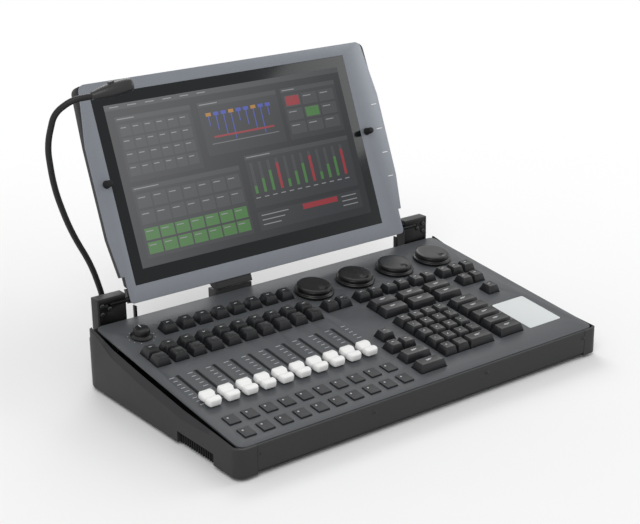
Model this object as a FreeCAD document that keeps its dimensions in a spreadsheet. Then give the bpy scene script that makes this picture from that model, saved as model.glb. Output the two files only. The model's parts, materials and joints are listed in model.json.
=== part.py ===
"""Lighting control desk: a sloping control panel in a wedge case, with a folding touch display
on two hinge towers and a gooseneck lamp.

Three frames are used, with X = 0 in the middle of the case in all of them.  The case frame has X
to the right, Y to the rear and Z up, and Z = 0 at the soles of the feet.  The panel frame lies on
the sloping control panel: its y runs up the slope and its z stands square to the panel.  The
display frame has its origin on the hinge axis, with y up the display and z out of its face.
node() sets each piece into the row frame, whose origin is under the middle of the whole desk.
All sizes are millimetres.
"""
import FreeCAD, Part
import math
import os
import re

import Sketcher
from FreeCAD import Placement, Rotation, Vector

doc = FreeCAD.newDocument("lighting_control_desk")
sheet = doc.addObject("Spreadsheet::Sheet", "Sizes")

# Driving dimensions: alias, value, meaning.
DIMENSIONS = [
    ("shift_x", 22.34, "middle of the case, from the row's origin"),
    ("shift_y", -159.66, "panel frame's origin, from the row's origin"),
    ("panel_lift", 41.1, "height of the panel frame's origin over the floor"),
    ("tilt", 7.85, "slope of the panel, degrees"),
    ("case_width", 521, "outside width of the case"),
    ("case_front", -37.6, "front face"),
    ("case_rear", 277, "rear face"),
    ("case_floor", 4.5, "underside of the case over the floor"),
    ("wall", 3, "thickness of the case walls"),
    ("joint_gap", 0.1, "gap between case parts that lie against each other"),
    ("front_corner", 12, "plan radius of the front corners"),
    ("rear_corner", 30, "plan radius of the rear corners"),
    ("deck_height", 60, "top of the rear deck over the floor"),
    ("deck_start", 254.4, "rear face of the step down to the deck"),
    ("sheet_metal", 1.6, "thickness of the folded steel parts"),
    ("front_wrap", 24, "how far a side cheek wraps round the front"),
    ("rear_wrap", 56, "how far a side cheek wraps round the rear"),
    ("fascia_low", 8, "lower edge of the front fascia over the floor"),
    ("rim_side", 6, "case edge beside the control panel"),
    ("rim_front", 3.9, "case edge in front of the control panel"),
    ("rim_rear", 3.1, "case edge behind the control panel"),
    ("panel_gap", 0.3, "gap between the control panel's edge and the case"),
    ("panel_thick", 2.5, "control panel"),
    ("panel_corner", 9, "corner radius of the control panel"),
    ("scoop_rim", 1.2, "flat edge between the panel and the hollow chamfer of a side"),
    ("key_pitch", 19.05, "pitch of the sculpted keys"),
    ("key_gap", 0.85, "gap between the feet of two sculpted keys"),
    ("key_taper", 5, "how much narrower a key's top is than its foot"),
    ("key_height", 9.2, "sculpted key over the panel"),
    ("key_travel", 3, "stroke of a sculpted key"),
    ("stem_size", 5, "square stem under a key"),
    ("stem_gap", 0.2, "gap around a stem in its switch"),
    ("stem_reach", 1.4, "how deep a stem stands in its switch"),
    ("switch_size", 14, "square key switch"),
    ("switch_top", 3.6, "top of a switch below the panel's surface"),
    ("board_drop", 11, "top of the control board below the panel's surface"),
    ("board_thick", 1.6, "circuit boards"),
    ("flash_width", 14, "flat flash button"),
    ("flash_depth", 15.8, "flat flash button"),
    ("flash_height", 1.6, "flat flash button over the panel"),
    ("fader_pitch", 23.2, "pitch of the faders"),
    ("fader_travel", 60, "stroke of a fader"),
    ("fader_rest", 54, "centre of a parked fader cap on the slope"),
    ("fader_first", -231.7, "first fader"),
    ("slot_width", 2.4, "fader slot"),
    ("slot_spare", 4, "slot beyond each end of the stroke"),
    ("cap_width", 17.4, "fader cap"),
    ("cap_length", 24, "fader cap"),
    ("cap_low", 1.6, "underside of a fader cap over the panel"),
    ("cap_high", 10, "top of a fader cap over the panel"),
    ("wheel_radius", 24.5, "flange of an encoder wheel"),
    ("wheel_dial", 21.5, "upper disc of an encoder wheel"),
    ("wheel_low", 1, "underside of wheels and knob over the panel"),
    ("wheel_flange", 3.4, "thickness of an encoder wheel's flange"),
    ("wheel_high", 11, "top of an encoder wheel over the panel"),
    ("wheel_pitch", 63.6, "pitch of the encoder wheels"),
    ("wheel_first", 16.2, "first encoder wheel"),
    ("wheel_row", 202.3, "encoder wheels, up the slope"),
    ("turning_roof", 2.6, "material over the shaft in a wheel or knob"),
    ("shaft_radius", 3, "shafts of the encoders, the knob and the display's hinge"),
    ("shaft_fit", 0.05, "radial clearance of a turning shaft"),
    ("knob_radius", 9.6, "level knob"),
    ("knob_skirt", 12.8, "skirt of the level knob"),
    ("knob_high", 11.5, "top of the level knob over the panel"),
    ("knob_row", 209.5, "level knob, up the slope"),
    ("pad_width", 52.6, "touchpad"),
    ("pad_depth", 66.8, "touchpad"),
    ("pad_left", 183.8, "left edge of the touchpad"),
    ("pad_front", 0.4, "front edge of the touchpad, up the slope"),
    ("pad_thick", 1.2, "touchpad"),
    ("tower_width", 37, "hinge tower"),
    ("tower_depth", 17, "hinge tower"),
    ("tower_height", 45, "hinge tower over the deck"),
    ("tower_gap", 1.6, "tower behind the step of the deck"),
    ("hinge_inset", 3.6, "hinge axis behind the front of the towers"),
    ("hinge_rise", 35.6, "hinge axis over the deck"),
    ("hinge_reach", 20, "length of a hinge shaft inside its tower"),
    ("display_gap", 4.8, "gap between the display and a tower"),
    ("display_lean", 68.7, "display against the floor, degrees"),
    ("face_offset", 5.5, "display's front face in front of the hinge axis"),
    ("plate_thick", 2, "display's front plate"),
    ("plate_low", -6.6, "lower edge of the front plate, from the hinge axis"),
    ("plate_high", 249.4, "upper edge of the front plate, from the hinge axis"),
    ("plate_neck", 410.4, "width of the front plate between the towers"),
    ("plate_waist", 419.4, "width of the front plate just above the towers"),
    ("plate_full", 429.8, "greatest width of the front plate"),
    ("plate_crown", 410.8, "width of the front plate at its top"),
    ("neck_high", 25.5, "where the plate steps out over the towers"),
    ("waist_high", 70.5, "where the plate reaches its full width"),
    ("full_high", 178, "where the plate starts to draw in again"),
    ("crown_corner", 9, "upper corners of the front plate"),
    ("neck_corner", 5, "lower corners of the front plate"),
    ("screen_centre", -10, "middle of the visible screen"),
    ("screen_low", 29.7, "lower edge of the visible screen, from the hinge axis"),
    ("screen_width", 340.6, "visible screen"),
    ("screen_height", 191.6, "visible screen"),
    ("glass_side", 13.8, "glass beside and above the visible screen"),
    ("glass_below", 16.8, "glass below the visible screen"),
    ("glass_thick", 1.8, "cover glass"),
    ("glass_gap", 0.15, "gap around the cover glass"),
    ("lcd_thick", 5, "screen module"),
    ("lcd_edge", 6, "frame of the screen module around the visible screen"),
    ("back_depth", 14, "display's rear housing, behind the front plate"),
    ("back_low", 12, "lower edge of the rear housing, from the hinge axis"),
    ("back_inset", 1.2, "rear housing inside the front plate's outline"),
    ("back_wall", 3, "wall of the rear housing"),
    ("back_chamfer", 5, "edge of the rear housing"),
    ("arm_width", 14, "hinge arm"),
    ("bumper_radius", 4.8, "rubber bumper on the display"),
    ("bumper_height", 12, "rubber bumper on the display"),
    ("bumper_row", 132.7, "rubber bumpers, from the hinge axis"),
    ("bumper_left", -200, "left bumper"),
    ("bumper_right", 183.3, "right bumper"),
    ("drum_radius", 15.5, "cable drum around the hinge axis"),
    ("drum_left", -88, "left end of the cable drum"),
    ("drum_width", 50, "cable drum"),
    ("drum_gap", 0.8, "gap around the cable drum in its saddle"),
    ("lamp_inset", 38.5, "lamp plug, from the left side of the case"),
    ("lamp_reach", 11, "lamp's swivel axis behind the case"),
    ("lamp_height", 42, "lamp socket over the floor"),
    ("tube_radius", 3.4, "gooseneck"),
    ("plug_radius", 9.5, "shell of the lamp plug"),
    ("plug_pin", 7, "front of the lamp plug, in its socket"),
    ("head_length", 46, "lamp head"),
    ("foot_radius", 12, "rubber foot"),
    ("vent_start", 6, "front end of the side vents"),
    ("vent_length", 68, "side vents"),
    ("vent_top", 17, "top of the side vents over the floor"),
    ("vent_depth", 5, "depth of the side vents"),
    ("vent_sheet", 0.8, "sheet that the vent louvres are pressed from"),
]

# Derived dimensions: alias, formula, meaning.
DERIVED = [
    ("panel_width", "=case_width - 2 * (rim_side + panel_gap)", "control panel"),
    ("panel_front", "=(case_front + rim_front) / cos(tilt)", "front edge of the panel, on the slope"),
    ("panel_depth", "=(deck_start - rim_rear) / cos(tilt) - panel_front", "control panel, up the slope"),
    ("key_base", "=key_pitch - key_gap", "foot of a single key"),
    ("stem_bottom", "=-switch_top - stem_reach", "lower end of a key's stem"),
    ("knob_centre", "=fader_first + fader_pitch / 2", "level knob, between the first two faders"),
    ("tower_inner", "=plate_neck / 2 + display_gap", "inner face of a hinge tower"),
    ("tower_front", "=deck_start + tower_gap", "front face of a hinge tower"),
    ("tower_top", "=deck_height + tower_height", "top of a hinge tower over the floor"),
    ("hinge_y", "=tower_front + hinge_inset", "display hinge axis"),
    ("hinge_z", "=deck_height + hinge_rise", "display hinge axis over the floor"),
    ("glass_left", "=screen_centre - screen_width / 2 - glass_side", "cover glass"),
    ("glass_low", "=screen_low - glass_below", "cover glass"),
    ("glass_width", "=screen_width + 2 * glass_side", "cover glass"),
    ("glass_height", "=screen_height + glass_side + glass_below", "cover glass"),
    ("plate_back", "=face_offset - plate_thick", "back of the front plate"),
    ("lamp_x", "=lamp_inset - case_width / 2", "lamp plug"),
    ("lamp_y", "=case_rear + lamp_reach", "lamp's swivel axis"),
]
for row, (alias, content, meaning) in enumerate(DIMENSIONS + DERIVED, start=1):
    sheet.set(f"A{row}", alias)
    sheet.set(f"B{row}", str(content))
    sheet.setAlias(f"B{row}", alias)
    sheet.set(f"C{row}", meaning)
doc.recompute()

ALIASES = {alias for alias, _, _ in DIMENSIONS + DERIVED}


def size(alias):
    """The sheet's value of one alias, as a number."""
    return float(getattr(sheet, alias))


def expression(text):
    """An expression with each alias written out as a cell of the sheet."""
    return re.sub(r"[a-z]+_?[a-z]*", lambda word: f"Sizes.{word.group()}"
                  if word.group() in ALIASES else word.group(), str(text))


def bind(obj, **sizes):
    """Bind properties of an object to expressions of the sheet's aliases."""
    for name, text in sizes.items():
        obj.setExpression(name, expression(text))
    return obj


def at(obj, x=0, y=0, z=0):
    """Bind the place of an object's origin."""
    for axis, text in zip("xyz", (x, y, z)):
        obj.setExpression(f".Placement.Base.{axis}", expression(text))
    return obj


def box(name, length, width, height, x, y, z):
    """A box with its low corner at x, y, z."""
    made = bind(doc.addObject("Part::Box", name), Length=length, Width=width, Height=height)
    return at(made, x, y, z)


def cylinder(name, radius, height, x, y, z, along="z"):
    """A cylinder from x, y, z along one axis."""
    made = bind(doc.addObject("Part::Cylinder", name), Radius=radius, Height=height)
    if along == "x":
        made.Placement.Rotation = Rotation(Vector(0, 1, 0), 90)
    if along == "y":
        made.Placement.Rotation = Rotation(Vector(1, 0, 0), -90)
    return at(made, x, y, z)


def cone(name, lower, upper, height, x, y, z):
    """A cone along z, from its lower radius at x, y, z to its upper radius."""
    made = bind(doc.addObject("Part::Cone", name), Radius1=lower, Radius2=upper, Height=height)
    return at(made, x, y, z)


def tapered(name, foot_x, foot_y, top_x, top_y, height, x, y, z):
    """A block that tapers to its top, centred on x, y with its foot at z."""
    made = doc.addObject("Part::Wedge", name)
    bind(made, Xmin=f"-({foot_x}) / 2", Xmax=f"({foot_x}) / 2", Zmin=f"-({foot_y}) / 2",
         Zmax=f"({foot_y}) / 2", X2min=f"-({top_x}) / 2", X2max=f"({top_x}) / 2",
         Z2min=f"-({top_y}) / 2", Z2max=f"({top_y}) / 2", Ymin=0, Ymax=height)
    made.Placement.Rotation = Rotation(Vector(1, 0, 0), 90)
    return at(made, x, y, z)


def cut(name, base, *tools):
    """The base without the tools."""
    made = doc.addObject("Part::Cut", name)
    made.Base = base
    made.Tool = tools[0] if len(tools) == 1 else gather(name + "_tools", tools)
    return made


def fuse(name, *pieces):
    """The pieces as one solid."""
    made = doc.addObject("Part::MultiFuse", name)
    made.Shapes = list(pieces)
    made.Refine = True
    return made


def common(name, *pieces):
    """What the pieces share."""
    made = doc.addObject("Part::MultiCommon", name)
    made.Shapes = list(pieces)
    return made


def gather(name, pieces):
    """Separate solids in one object."""
    made = doc.addObject("Part::Compound", name)
    made.Links = list(pieces)
    return made


def mirrored(name, base):
    """The base on the other side of the middle of the case."""
    made = doc.addObject("Part::Mirroring", name)
    made.Source = base
    made.Normal = (1, 0, 0)
    return made


def rounded(name, base, chosen, radius):
    """The base with the edges that a test picks filleted."""
    doc.recompute()
    made = doc.addObject("Part::Fillet", name)
    made.Base = base
    made.Edges = [(index, radius, radius) for index, edge in enumerate(base.Shape.Edges, start=1)
                  if chosen(edge)]
    return made


def along_axis(edge, axis):
    """Whether an edge is a straight one along the named axis."""
    straight = isinstance(edge.Curve, Part.Line)
    return straight and abs(abs(getattr(edge.Curve.Direction, axis)) - 1) < 1e-6


def origin_plane(body, role):
    """One of a body's own origin planes."""
    return next(item for item in body.Origin.OriginFeatures if item.Role == role)


def profile(body, name, points, role="XY_Plane"):
    """A closed sketch through points, each placed by two bound dimensions from the origin."""
    drawing = body.newObject("Sketcher::SketchObject", name)
    drawing.AttachmentSupport = (origin_plane(body, role), "")
    drawing.MapMode = "FlatFace"
    count = len(points)
    for index in range(count):
        start, stop = 2 * math.pi * index / count, 2 * math.pi * (index + 1) / count
        drawing.addGeometry(Part.LineSegment(Vector(math.cos(start), math.sin(start), 0),
                                             Vector(math.cos(stop), math.sin(stop), 0)), False)
    for index in range(count):
        drawing.addConstraint(Sketcher.Constraint("Coincident", index, 2, (index + 1) % count, 1))
    for index, point in enumerate(points):
        for kind, text in zip(("DistanceX", "DistanceY"), point):
            number = drawing.addConstraint(Sketcher.Constraint(kind, -1, 1, index, 1, 1.0))
            drawing.setExpression(f"Constraints[{number}]", expression(text))
    return drawing


def plate_body(name, points, thickness, lift):
    """A PartDesign body: a padded outline, lifted to its place."""
    body = doc.addObject("PartDesign::Body", name)
    drawing = profile(body, f"{name}_outline", points)
    bind(drawing, **{"AttachmentOffset.Base.z": lift})
    pad = body.newObject("PartDesign::Pad", f"{name}_pad")
    pad.Profile = drawing
    bind(pad, Length=thickness)
    return body


def dress(body, kind, name, chosen, dimension):
    """Add a fillet or chamfer to the edges of a body that a test picks."""
    doc.recompute()
    before = body.Tip
    edges = [f"Edge{index}" for index, edge in enumerate(before.Shape.Edges, start=1) if chosen(edge)]
    feature = body.newObject(f"PartDesign::{kind}", name)
    feature.Base = (before, edges)
    bind(feature, **{"Radius" if kind == "Fillet" else "Size": dimension})
    return feature


def turned_body(name, points):
    """A PartDesign body: a profile of radius and height, turned about its z axis."""
    body = doc.addObject("PartDesign::Body", name)
    drawing = profile(body, f"{name}_profile", points, "XZ_Plane")
    doc.recompute()
    turn = body.newObject("PartDesign::Revolution", f"{name}_turn")
    turn.Profile = drawing
    turn.ReferenceAxis = (drawing, ["V_Axis"])
    turn.Angle = 360
    return body


def drawn(name, shape):
    """A feature whose shape is made with Part's own functions."""
    made = doc.addObject("Part::Feature", name)
    made.Shape = shape
    return made


NODES = []
FRAMES = {
    "case": ("shift_x", "shift_y", "0", "0"),
    "panel": ("shift_x", "shift_y", "panel_lift", "tilt"),
    "display": ("shift_x", "shift_y + hinge_y", "hinge_z", "display_lean"),
}


def node(name, obj, frame="case"):
    """Name an object as a sub-part and place its frame in the row frame."""
    obj.Label = name
    x, y, z, turn = (expression(text) for text in FRAMES[frame])
    obj.setExpression("Placement", f"create(<<placement>>; create(<<vector>>; {x}; {y}; {z}); "
                      f"create(<<rotation>>; create(<<vector>>; 1; 0; 0); {turn}))")
    NODES.append(obj)
    return obj


# ---------------------------------------------------------------------------------------------
# Case walls: one hollow wedge, split into two cheeks, a front fascia and a rear panel
# ---------------------------------------------------------------------------------------------
def block(x0, x1, y0, y1, z0, z1):
    """A box between two corners, as a shape."""
    return Part.makeBox(x1 - x0, y1 - y0, z1 - z0, Vector(x0, y0, z0))


def slope_height(y):
    """Height over the floor of the panel's surface at a place y of the case."""
    return size("panel_lift") + y * math.tan(math.radians(size("tilt")))


def prism(inset, low, high):
    """The case's plan outline, drawn in by an inset, as an upright block with round corners."""
    half, front, rear = size("case_width") / 2 - inset, size("case_front") + inset, size("case_rear") - inset
    solid = block(-half, half, front, rear, low, high)
    for radius, at_rear in ((size("front_corner"), False), (size("rear_corner"), True)):
        corners = [edge for edge in solid.Edges if along_axis(edge, "z")
                   and (edge.BoundBox.YMin > (front + rear) / 2) == at_rear]
        solid = solid.makeFillet(radius - inset, corners)
    return solid


def side_view(low):
    """Slab with the case's side view: the slope, the step down and the rear deck."""
    front, rear = size("case_front") - 1, size("case_rear") + 1
    step, deck, half = size("deck_start"), size("deck_height"), size("case_width") / 2 + 1
    points = [(front, low), (front, slope_height(front)), (step, slope_height(step)), (step, deck),
              (rear, deck), (rear, low), (front, low)]
    face = Part.Face(Part.makePolygon([Vector(-half, y, z) for y, z in points]))
    return face.extrude(Vector(2 * half, 0, 0))


# Depth of the hollow chamfer along the top of each side: share of the slope's length, depth.
SCOOP = [(-0.01, 1.6), (0.13, 6.5), (0.21, 10), (0.34, 16), (0.62, 17.2), (0.84, 14), (0.95, 4),
         (1.03, 1)]


def scoop(side):
    """Cutter for the hollow chamfer between the panel and one side of the case."""
    inner = size("panel_width") / 2 + size("panel_gap") + size("scoop_rim")
    outer = size("case_width") / 2
    reach = outer + 6
    sections = []
    for share, depth in SCOOP:
        y = size("panel_front") + share * size("panel_depth")
        low = -depth * (reach - inner) / (outer - inner)
        corners = [(inner, 0), (inner, 6), (reach, 6), (reach, low), (inner, 0)]
        sections.append(Part.makePolygon([Vector(side * x, y, z) for x, z in corners]))
    cutter = Part.makeLoft(sections, True, True)
    cutter.rotate(Vector(), Vector(1, 0, 0), size("tilt"))
    cutter.translate(Vector(0, 0, size("panel_lift")))
    return cutter


floor, crest, wall = size("case_floor"), size("tower_top"), size("wall")
half_case, front, rear = size("case_width") / 2, size("case_front"), size("case_rear")
metal, loose = size("sheet_metal"), size("joint_gap")
deck_top, step = size("deck_height"), size("deck_start")
walls = prism(0, floor, crest).cut(prism(wall, 0, crest + 1)).common(side_view(floor))

# Connectors on the rear wall: centres of the data sockets and of the power inlet, and the lamp's.
DMX_SPOTS = [(-120, 34), (-88, 34), (60, 34), (92, 34)]
DMX_RADIUS = 12
INLET_X, INLET_Z, INLET_HALF_X, INLET_HALF_Z = 170, 32, 14, 10
SOCKET_RADIUS = 10
hole_gap = 0.2
holes = [Part.makeCylinder(DMX_RADIUS + hole_gap, 2 * wall, Vector(x, rear - 1.5 * wall, z), Vector(0, 1, 0))
         for x, z in DMX_SPOTS]
holes.append(block(INLET_X - INLET_HALF_X - hole_gap, INLET_X + INLET_HALF_X + hole_gap, rear - 2 * wall,
                   rear + 1, INLET_Z - INLET_HALF_Z - hole_gap, INLET_Z + INLET_HALF_Z + hole_gap))
holes.append(Part.makeCylinder(SOCKET_RADIUS + hole_gap, 6 * wall,
                               Vector(size("lamp_x"), rear - 5 * wall, size("lamp_height")),
                               Vector(0, 1, 0)))


def vent_block(side, inner, grow):
    """Space of a side vent, from an inner face to the outside, open at the bottom."""
    spread = sorted((side * inner, side * (half_case + 1)))
    start, length = size("vent_start") - grow, size("vent_length") + 2 * grow
    return block(*spread, start, start + length, floor - 1, size("vent_top") + grow)


for side in (-1, 1):
    walls = walls.cut(scoop(side)).cut(vent_block(side, half_case - size("vent_depth"), 0))
walls = walls.cut(Part.makeCompound(holes))


def cheek(side):
    """One side of the case, wrapping round its front and rear corners."""
    centre = (front + rear) / 2
    near = sorted((side * (half_case - size("front_wrap")), side * (half_case + 1)))
    far = sorted((side * (half_case - size("rear_wrap")), side * (half_case + 1)))
    keep = block(*near, front - 1, centre, 0, crest).fuse(block(*far, centre, rear + 1, 0, crest))
    return walls.common(keep)


def middle_wall(wrap, low, y0, y1):
    """The wall between the two cheeks at the front or at the rear."""
    reach = half_case - wrap - loose
    return walls.common(block(-reach, reach, y0, y1, low, crest))


node("left_cheek", drawn("LeftCheek", cheek(-1)))
node("right_cheek", drawn("RightCheek", cheek(1)))
node("front_fascia", drawn("FrontFascia", middle_wall(size("front_wrap"), size("fascia_low"), front - 1, 0)))
rear_wall = middle_wall(size("rear_wrap"), floor, rear - wall, rear + 1)
node("rear_panel", drawn("RearPanel", rear_wall))

# Base tray: a flat pan inside the walls with four posts for the main board.
BOARD_X, BOARD_Y, BOARD_WIDTH, BOARD_DEPTH, BOARD_LIFT = -60, 60, 220, 150, 6
BOARD_INSET, POST_RADIUS = 12, 3
tray = prism(wall + loose, floor, floor + metal)
for x in (BOARD_X + BOARD_INSET, BOARD_X + BOARD_WIDTH - BOARD_INSET):
    for y in (BOARD_Y + BOARD_INSET, BOARD_Y + BOARD_DEPTH - BOARD_INSET):
        tray = tray.fuse(Part.makeCylinder(POST_RADIUS, BOARD_LIFT, Vector(x, y, floor + metal)))
for side in (-1, 1):
    tray = tray.cut(vent_block(side, half_case - size("vent_depth") - size("vent_sheet") - loose,
                               size("vent_sheet") + loose))
node("base_tray", drawn("BaseTray", tray.removeSplitter()))

# Rear deck: the ledge behind the panel and the step up to it.
ledge = prism(wall + loose, deck_top - metal, deck_top).common(
    block(-half_case, half_case, step - metal, rear, 0, deck_top))
riser = prism(wall + loose, deck_top - metal, slope_height(step) - size("panel_thick") - 2 * loose)
riser = riser.common(block(-half_case, half_case, step - metal, step, 0, crest))
node("rear_deck", drawn("RearDeck", ledge.fuse(riser).removeSplitter()))

# Feet: a rubber disc under each corner of the tray.
FOOT_INSET_X, FOOT_INSET_Y = 24, 22
feet = [cone(f"Foot{number}", "foot_radius - 1.5", "foot_radius", "case_floor",
             f"{side} * (case_width / 2 - {FOOT_INSET_X})", y, 0)
        for number, (side, y) in enumerate([(side, y) for side in (-1, 1) for y in
                                            (f"case_front + {FOOT_INSET_Y}",
                                             f"case_rear - {FOOT_INSET_Y + 12}")])]
node("feet", gather("Feet", feet))

# Vent grilles: a pan behind each side vent, with upright louvres in it.
LOUVRES, LOUVRE_SHARE, LOUVRE_SETBACK = 16, 0.45, 2.6


def grille(name, side):
    """A pressed pan with a row of louvres, behind the vent of one side."""
    sheet_thick, deep = size("vent_sheet"), half_case - size("vent_depth")
    start, length, roof = size("vent_start"), size("vent_length"), size("vent_top")
    pan = block(deep - sheet_thick, half_case - wall - loose, start - sheet_thick,
                start + length + sheet_thick, floor, roof + sheet_thick)
    pan = pan.cut(block(deep, half_case, start, start + length, floor - 1, roof))
    pitch = length / LOUVRES
    for index in range(LOUVRES):
        near = start + (index + (1 - LOUVRE_SHARE) / 2) * pitch
        pan = pan.fuse(block(deep - loose, half_case - LOUVRE_SETBACK, near, near + LOUVRE_SHARE * pitch,
                             floor, roof - 0.6))
    pan = pan.removeSplitter()
    return drawn(name, pan if side > 0 else pan.mirror(Vector(), Vector(1, 0, 0)))


node("vent_grilles", gather("VentGrilles", [grille("GrilleLeft", -1), grille("GrilleRight", 1)]))

# ---------------------------------------------------------------------------------------------
# Control panel.  A key is (x, y, wide): its front left corner in the panel frame, and its width
# in single pitches.
# ---------------------------------------------------------------------------------------------
PITCH, CHANNEL = size("key_pitch"), size("fader_pitch")
CHANNELS = 10
CHANNEL_X = [size("fader_first") + index * CHANNEL for index in range(CHANNELS)]
CUE_LEFT = size("fader_first") - size("key_base") / 2
NUMBER_X, NUMBER_Y = 49.6, 0
FUNCTION_X = NUMBER_X + 4 * PITCH + 10.3
SELECT_X, SELECT_Y, SELECT_STEP = NUMBER_X - 1, 104.3, 2 * PITCH + 4.5
ENCODER_Y = 150.6
SIDE_X = -0.4


def key_row(x, y, count, pitch=PITCH, wide=1):
    """Keys side by side."""
    return [(x + index * pitch, y, wide) for index in range(count)]


KEYS = {
    "rear_cue_keys": key_row(CUE_LEFT + 2 * CHANNEL, 200.3, CHANNELS - 2, CHANNEL),
    "middle_cue_keys": key_row(CUE_LEFT, 142 + PITCH, CHANNELS, CHANNEL),
    "front_cue_keys": key_row(CUE_LEFT, 142, CHANNELS, CHANNEL),
    "number_keys": [key for row in range(1, 5) for key in key_row(NUMBER_X, NUMBER_Y + row * PITCH, 4)]
    + key_row(NUMBER_X, NUMBER_Y, 2) + [(NUMBER_X + 2 * PITCH, NUMBER_Y, 2)],
    "wide_keys": [(FUNCTION_X, NUMBER_Y + 1 + row * PITCH, 2) for row in range(5)]
    + [key for row in range(2) for key in key_row(SELECT_X, SELECT_Y + row * PITCH, 3, SELECT_STEP, 2)],
    "encoder_keys": [key for x in (-1.4, 47.3, 90.2, 133) for key in key_row(x, ENCODER_Y, 2)]
    + key_row(179.4, ENCODER_Y, 3) + key_row(189.1, 122.4, 2) + [(202, 89.7, 1)],
    "side_keys": [(SIDE_X + PITCH / 2, 61.3, 1)] + key_row(SIDE_X, 35.1, 2)
    + [(SIDE_X, 9.7, 2), (SIDE_X, -15.6, 2)],
}
FLASH_ROWS = {"rear_flash_buttons": 14.1, "front_flash_buttons": -12.7}


def key_width(wide):
    """Foot of a key that is some pitches wide."""
    return (wide - 1) * PITCH + size("key_base")


def key_centre(x, y, wide):
    """Centre of a key on the panel, from its front left corner."""
    return x + key_width(wide) / 2, y + size("key_base") / 2


def key_holes():
    """Cutters for the keys; neighbours in a block share one opening."""
    margin = size("key_gap") / 2 + 0.05
    depth = size("key_base")
    return [block(x - margin, x + key_width(wide) + margin, y - margin, y + depth + margin,
                  -size("panel_thick") - 1, 1) for keys in KEYS.values() for x, y, wide in keys]


def flash_holes():
    """Cutters for the flat buttons."""
    half_x, half_y = (size(alias) / 2 + 0.4 for alias in ("flash_width", "flash_depth"))
    return [block(x - half_x, x + half_x, y - half_y, y + half_y, -size("panel_thick") - 1, 1)
            for y in FLASH_ROWS.values() for x in CHANNEL_X]


def fader_slots():
    """Cutters for the fader slots."""
    half, start = size("slot_width") / 2, size("fader_rest") - size("slot_spare")
    length = size("fader_travel") + 2 * size("slot_spare")
    return [block(x - half, x + half, start, start + length, -size("panel_thick") - 1, 1)
            for x in CHANNEL_X]


WHEEL_X = [size("wheel_first") + index * size("wheel_pitch") for index in range(4)]


def shaft_holes():
    """Cutters for the bushes of the encoders and the knob."""
    spots = [(x, size("wheel_row")) for x in WHEEL_X] + [(size("knob_centre"), size("knob_row"))]
    return [Part.makeCylinder(size("shaft_radius") + 2, size("panel_thick") + 2,
                              Vector(x, y, -size("panel_thick") - 1)) for x, y in spots]


half_panel = "panel_width / 2"
panel_blank = plate_body("PanelBlank", [(f"-{half_panel}", "panel_front"), (half_panel, "panel_front"),
                                        (half_panel, "panel_front + panel_depth"),
                                        (f"-{half_panel}", "panel_front + panel_depth")],
                         "panel_thick", "-panel_thick")
dress(panel_blank, "Fillet", "PanelCorners", lambda edge: along_axis(edge, "z"), "panel_corner")
cutters = key_holes() + flash_holes() + fader_slots() + shaft_holes()
panel_holes = drawn("PanelHoles", cutters[0].multiFuse(cutters[1:]).removeSplitter())
pad_well = box("PadWell", "pad_width", "pad_depth", "pad_thick + 1", "pad_left", "pad_front", "-pad_thick")
node("top_panel", cut("TopPanel", panel_blank, panel_holes, pad_well), "panel")

pad = box("PadPlate", "pad_width - 2 * panel_gap", "pad_depth - 2 * panel_gap", "pad_thick",
          "pad_left + panel_gap", "pad_front + panel_gap", "-pad_thick")
node("touchpad", rounded("Touchpad", pad, lambda edge: along_axis(edge, "z"), 2.5), "panel")


def stem(name, x, y, top):
    """The square stem of a key, from its cap down into its switch."""
    return box(name, "stem_size", "stem_size", f"{top} - stem_bottom", f"{x} - stem_size / 2",
               f"{y} - stem_size / 2", "stem_bottom")


def key_cap(name, x, y, wide):
    """A tapered cap with its stem."""
    centre_x, centre_y = key_centre(x, y, wide)
    foot = f"{wide - 1} * key_pitch + key_base"
    cap = tapered(f"Cap_{name}", foot, "key_base", f"{foot} - key_taper", "key_base - key_taper",
                  "key_height", centre_x, centre_y, 0)
    return fuse(f"Key_{name}", cap, stem(f"Stem_{name}", centre_x, centre_y, "0.5"))


def flash_cap(name, x, y):
    """A flat button with its stem."""
    cap = box(f"Cap_{name}", "flash_width", "flash_depth", "flash_height + panel_thick",
              f"{x} - flash_width / 2", f"{y} - flash_depth / 2", "-panel_thick")
    return fuse(f"Key_{name}", cap, stem(f"Stem_{name}", x, y, "0"))


for name, keys in KEYS.items():
    caps = [key_cap(f"{name}_{number}", *key) for number, key in enumerate(keys, start=1)]
    node(name, gather(f"Group_{name}", caps), "panel")
for name, y in FLASH_ROWS.items():
    caps = [flash_cap(f"{name}_{number}", x, y) for number, x in enumerate(CHANNEL_X, start=1)]
    node(name, gather(f"Group_{name}", caps), "panel")


def switch(name, x, y):
    """A switch body on the control board, with a well for its key's stem."""
    base = box(f"Body_{name}", "switch_size", "switch_size", "board_drop - switch_top",
               f"{x} - switch_size / 2", f"{y} - switch_size / 2", "-board_drop")
    bottom = "stem_bottom - key_travel - stem_gap"
    well = box(f"Well_{name}", "stem_size + 2 * stem_gap", "stem_size + 2 * stem_gap",
               f"-switch_top + 1 - ({bottom})", f"{x} - stem_size / 2 - stem_gap",
               f"{y} - stem_size / 2 - stem_gap", bottom)
    return cut(f"Switch_{name}", base, well)


switch_spots = [key_centre(*key) for keys in KEYS.values() for key in keys]
switch_spots += [(x, y) for y in FLASH_ROWS.values() for x in CHANNEL_X]
node("switch_bodies", gather("SwitchBodies", [switch(str(number), x, y) for number, (x, y)
                                              in enumerate(switch_spots, start=1)]), "panel")

# Faders: a channel under each slot and a cap whose blade runs in it.
FADER_BODY_WIDTH, FADER_BODY_SPARE, BLADE_THICK, BLADE_WIDTH, BLADE_REACH = 9, 12, 1.2, 5, 4


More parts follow.
